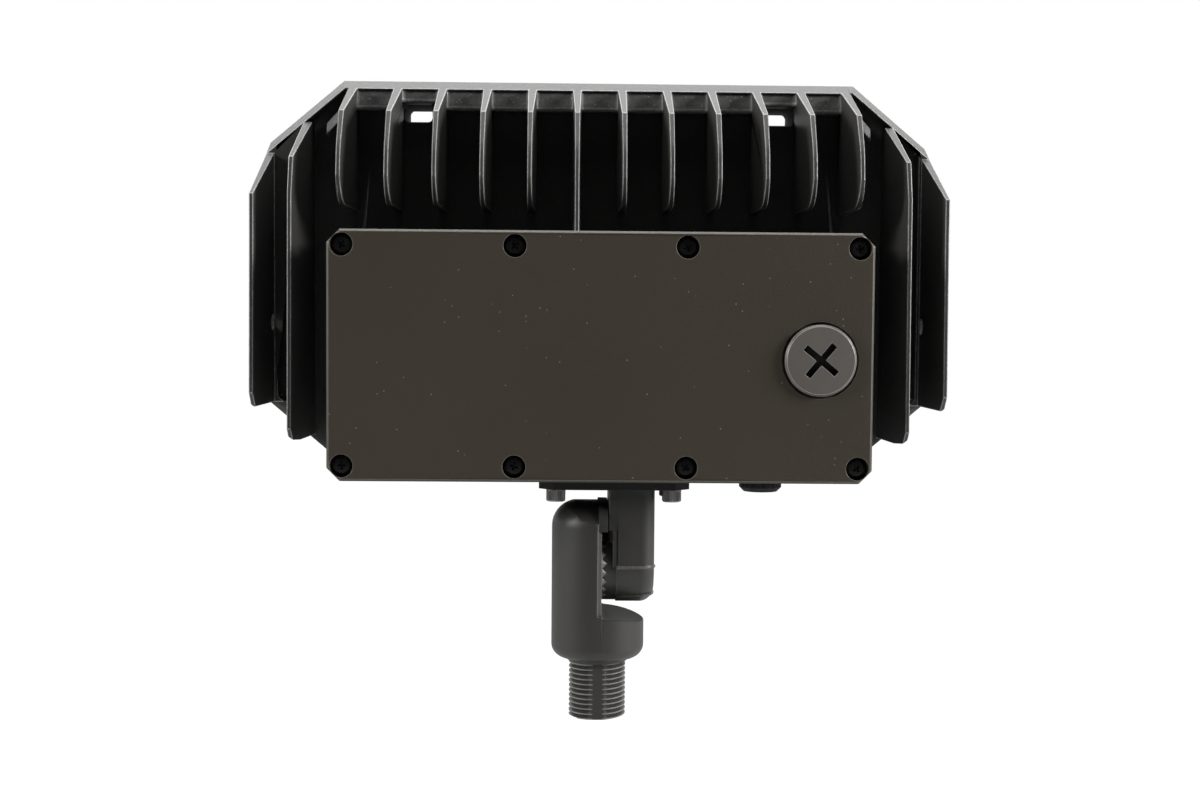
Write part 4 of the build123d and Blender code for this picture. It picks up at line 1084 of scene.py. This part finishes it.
def make_clamp_bolt():
    """M8 socket-head bolt through both ears."""
    bolt = socket_screw(
        "clamp_bolt_m8", head_radius=0.0065, head_height=0.008, shank_radius=0.004, reach=0.025,
        socket=0.006, ridges=45,
    )
    bolt.rotation_euler = (0, pi / 2, 0)
    bolt.location = (bolt_seat, 0, pivot_height)
    settle(bolt, [zinc], "clamp_bolt", "zinc_steel", "clamp_bolt")


def cross_screw(name, head_height, reach):
    """Pan-head screw on Z, head up from Z = 0, turned from its outline, with a tapered cross."""
    shank, tip, tip_height, head = 0.002, 0.0015, 0.0006, 0.0035
    wing_long, wing_wide, wing_deep, wing_share = 0.0038, 0.0009, 0.0022, 0.5
    screw = turned(name, [
        (0, -reach), (tip, -reach), (shank, -reach + tip_height), (shank, 0), (head, 0),
        (head, head_height * 0.45), (0.0033, head_height * 0.75), (0.0027, head_height * 0.94),
        (0.0019, head_height), (0, head_height),
    ], 32)
    for size in ((wing_long, wing_wide, wing_deep), (wing_wide, wing_long, wing_deep)):
        wing = block("wing", size, (0, 0, head_height))
        edit(wing)
        pick(wing, "VERT", lambda place: place.z < head_height)
        shrink(wing_share)
        done()
        carve(screw, wing)
    smooth(screw, 24.0)
    return screw


def place_screws(screw, finish, slot, node, places):
    """Copies a screw to its places, each a name, a place and a turn, and deletes the first."""
    for name, place, turn in places:
        settle(twin(screw, name, place, turn), [finish], "head", slot, node)
    bpy.data.objects.remove(screw)


def make_cross_screws():
    """Cover, frame and board screws, each kind modelled once and turned differently."""
    cover_columns, cover_rows = (-0.0914, -0.03047, 0.03047, 0.0914), (0.0722, 0.1502)
    place_screws(
        cross_screw("cover_screw", 0.0025, 0.008), black_steel, "black_steel", "cover_screws", [
            (
                f"cover_screw_{index + 1}_{row + 1}", (x, cover_screw_seat, z),
                (90, 17 * index + 31 * row, 0),
            )
            for index, x in enumerate(cover_columns) for row, z in enumerate(cover_rows)
        ],
    )
    frame_places = [
        *((x, z) for x in (-0.087, -0.029, 0.029, 0.087) for z in (0.075, 0.195)),
        (-0.111, window_middle), (0.111, window_middle),
    ]
    place_screws(
        cross_screw("frame_screw", 0.0025, 0.010), black_steel, "black_steel", "frame_screws", [
            (f"frame_screw_{index + 1}", (x, frame_front, z), (-90, 23 * index, 0))
            for index, (x, z) in enumerate(frame_places)
        ],
    )
    board_places = [
        *((x, window_middle + z) for x in (-0.092, 0.092) for z in (-0.018, 0.018)),
        (0, 0.094), (0, 0.176),
    ]
    place_screws(
        cross_screw("board_screw", 0.0014, 0.0056), zinc, "zinc_steel", "board_screws", [
            (f"board_screw_{index + 1}", (x, board_front, z), (-90, 29 * index, 0))
            for index, (x, z) in enumerate(board_places)
        ],
    )


def make_vent():
    """Breather vent: a fluted cap under the driver box, bevelled, with a dished face and a stem."""
    top, radius, height, sides = 0.0664, 0.0079, 0.004, 60
    slope_height, slope_share = 0.0016, 0.8
    dish_rim, dish_depth = 0.0012, 0.0005
    stem_step, stem_height = 0.002, 0.007
    flute_every, flute_share, flute_from = 5, 0.94, 0.0078
    vent = round_bar("vent_cap", radius, height, (0, 0, top - height / 2), sides)
    pick(vent, "FACE", lambda face: face.normal.z < -0.9)
    draw_out((0, 0, -slope_height))
    bpy.ops.transform.resize(value=(slope_share, slope_share, 1))
    bpy.ops.mesh.inset(thickness=dish_rim)
    draw_out((0, 0, dish_depth))
    pick(vent, "FACE", lambda face: face.normal.z > 0.9 and face.center.z > top - 0.0001)
    bpy.ops.mesh.inset(thickness=stem_step)
    draw_out((0, 0, stem_height))
    pick(
        vent, "VERT",
        lambda place: from_axis(place) > flute_from
        and corner_number(place, 2 * pi / sides) % flute_every == 0,
    )
    shrink(flute_share)
    done()
    smooth(vent, 24.0)
    vent.location = (vent_x, vent_y, 0)
    settle(vent, [nylon], "head", "vent_nylon", "vent_plug")


def repeat(piece, count, axis, pitch):
    """Array of the piece along one axis, applied."""
    row = piece.modifiers.new("row", "ARRAY")
    row.count = count
    row.use_relative_offset = False
    row.use_constant_offset = True
    row.constant_offset_displace = [pitch if index == axis else 0.0 for index in range(3)]
    only(piece)
    bpy.ops.object.modifier_apply(modifier="row")


def make_chips():
    """Light emitters: ceramic bodies with a sunk face, and the phosphor that fills it."""
    columns, rows, half_height = 12, 6, 0.0004
    body_size, body_round = (0.0036, 0.0008, 0.0036), 0.0002
    wall, sink, sink_share = 0.0004, 0.0003, 0.9
    fill_radius, fill_height, fill_sides, fill_round = 0.0013, 0.00035, 16, 0.0001
    fill_y = board_front + 0.00058
    first_x, first_z = -5.5 * chip_pitch, window_middle - 2.5 * chip_pitch
    body = block("chip_bodies", body_size, (first_x, board_front + half_height, first_z))
    edit(body, "EDGE")
    pick(body, "EDGE", lambda place: abs(place.y - board_front - half_height) < 0.0001)
    bpy.ops.mesh.bevel(offset=body_round, segments=1)
    pick(body, "FACE", lambda face: face.normal.y > 0.9)
    bpy.ops.mesh.inset(thickness=wall)
    draw_out((0, -sink, 0))
    bpy.ops.transform.resize(value=(sink_share, 1, sink_share))
    done()
    fill = round_bar("chip_phosphors", fill_radius, fill_height, sides=fill_sides)
    edit(fill)
    pick(fill, "FACE", lambda face: face.normal.z > 0.9)
    bpy.ops.mesh.bevel(offset=fill_round, segments=2)
    done()
    fill.rotation_euler = (-pi / 2, 0, 0)
    fill.location = (first_x, fill_y, first_z)
    only(fill)
    apply_place()
    for piece, finish, slot in (
        (body, chip_ceramic, "white_reflector"), (fill, phosphor, "chip_phosphor"),
    ):
        repeat(piece, columns, 0, chip_pitch)
        repeat(piece, rows, 2, chip_pitch)
        smooth(piece)
        settle(piece, [finish], "head", slot, "led_chips")


def add_camera():
    """Photograph's camera: tilted down a little, turned to the right and rolled."""
    data = bpy.data.cameras.new("camera")
    data.lens = camera_lens
    data.sensor_width = 36.0
    data.clip_start = 0.01
    data.clip_end = 50.0
    camera = bpy.data.objects.new("camera", data)
    bpy.context.scene.collection.objects.link(camera)
    turn = Matrix.Rotation(radians(-camera_yaw_right), 4, "Z")
    tilt = Matrix.Rotation(radians(90.0 - camera_pitch_down), 4, "X")
    roll = Matrix.Rotation(radians(camera_roll), 4, "Z")
    camera.matrix_world = Matrix.Translation(camera_place) @ turn @ tilt @ roll
    bpy.context.scene.camera = camera


def add_floor():
    """Pale floor that shows white to the camera and still keeps a soft shadow."""
    bpy.ops.object.select_all(action="DESELECT")
    middle = floor_start + floor_size / 2
    bpy.ops.mesh.primitive_plane_add(size=floor_size, location=(0.0, middle, floor_height))
    floor = bpy.context.object
    floor.name = "floor"
    material, put, links, shader = new_material("pale_floor")
    shader.inputs["Base Color"].default_value = (floor_tone, floor_tone, floor_tone, 1.0)
    shader.inputs["Roughness"].default_value = floor_roughness
    path = put.new("ShaderNodeLightPath")
    glow = put.new("ShaderNodeEmission")
    glow.inputs["Strength"].default_value = floor_glow
    mix = put.new("ShaderNodeMixShader")
    share = put.new("ShaderNodeMath")
    share.operation = "MULTIPLY"
    share.inputs[1].default_value = floor_glow_share
    links.new(path.outputs["Is Camera Ray"], share.inputs[0])
    links.new(share.outputs[0], mix.inputs["Fac"])
    links.new(shader.outputs["BSDF"], mix.inputs[1])
    links.new(glow.outputs["Emission"], mix.inputs[2])
    links.new(mix.outputs["Shader"], put["Material Output"].inputs["Surface"])
    floor.data.materials.append(material)


def add_world():
    """White backdrop where it is seen directly or through glass.

    As light and in gloss it is white behind the lit side and above, and dim behind the camera.
    """
    world = bpy.data.worlds.new("studio")
    world.use_nodes = True
    bpy.context.scene.world = world
    put, link = world.node_tree.nodes, world.node_tree.links.new
    sky = put["Background"]
    path = put.new("ShaderNodeLightPath")
    direct = put.new("ShaderNodeMath")
    direct.operation = "MAXIMUM"
    link(path.outputs["Is Camera Ray"], direct.inputs[0])
    link(path.outputs["Is Transmission Ray"], direct.inputs[1])
    toward = put.new("ShaderNodeTexCoord")
    parts = put.new("ShaderNodeSeparateXYZ")
    link(toward.outputs["Generated"], parts.inputs["Vector"])
    fade = put.new("ShaderNodeMapRange")
    fade.interpolation_type = "SMOOTHSTEP"
    fade.inputs["From Min"].default_value = dim_until
    fade.inputs["From Max"].default_value = white_from
    fade.inputs["To Min"].default_value = camera_side_level
    fade.inputs["To Max"].default_value = backdrop_level
    link(parts.outputs["Y"], fade.inputs["Value"])
    level = put.new("ShaderNodeMath")
    level.operation = "MAXIMUM"
    link(direct.outputs[0], level.inputs[0])
    link(fade.outputs["Result"], level.inputs[1])
    sky.inputs["Color"].default_value = (1.0, 1.0, 1.0, 1.0)
    link(level.outputs[0], sky.inputs["Strength"])


def add_softbox(name, place, aim, width, height, power):
    """Rectangular area lamp that faces a point."""
    data = bpy.data.lights.new(name, "AREA")
    data.shape = "RECTANGLE"
    data.size = width
    data.size_y = height
    data.energy = power
    lamp = bpy.data.objects.new(name, data)
    bpy.context.scene.collection.objects.link(lamp)
    lamp.location = place
    lamp.rotation_euler = (Vector(aim) - Vector(place)).to_track_quat("-Z", "Y").to_euler()


add_camera()
make_casting()
make_ledges()
make_corner_pads()
make_cover()
make_plug()
make_knuckle_casting()
make_ear_lip()
make_arm_web()
make_upper_knuckle()
make_nipple()
make_flange_fasteners()
make_clamp_bolt()
make_cross_screws()
make_vent()
make_chips()
add_floor()
add_world()
for softbox in softboxes:
    add_softbox(*softbox)

bpy.context.scene.view_settings.view_transform = "Standard"
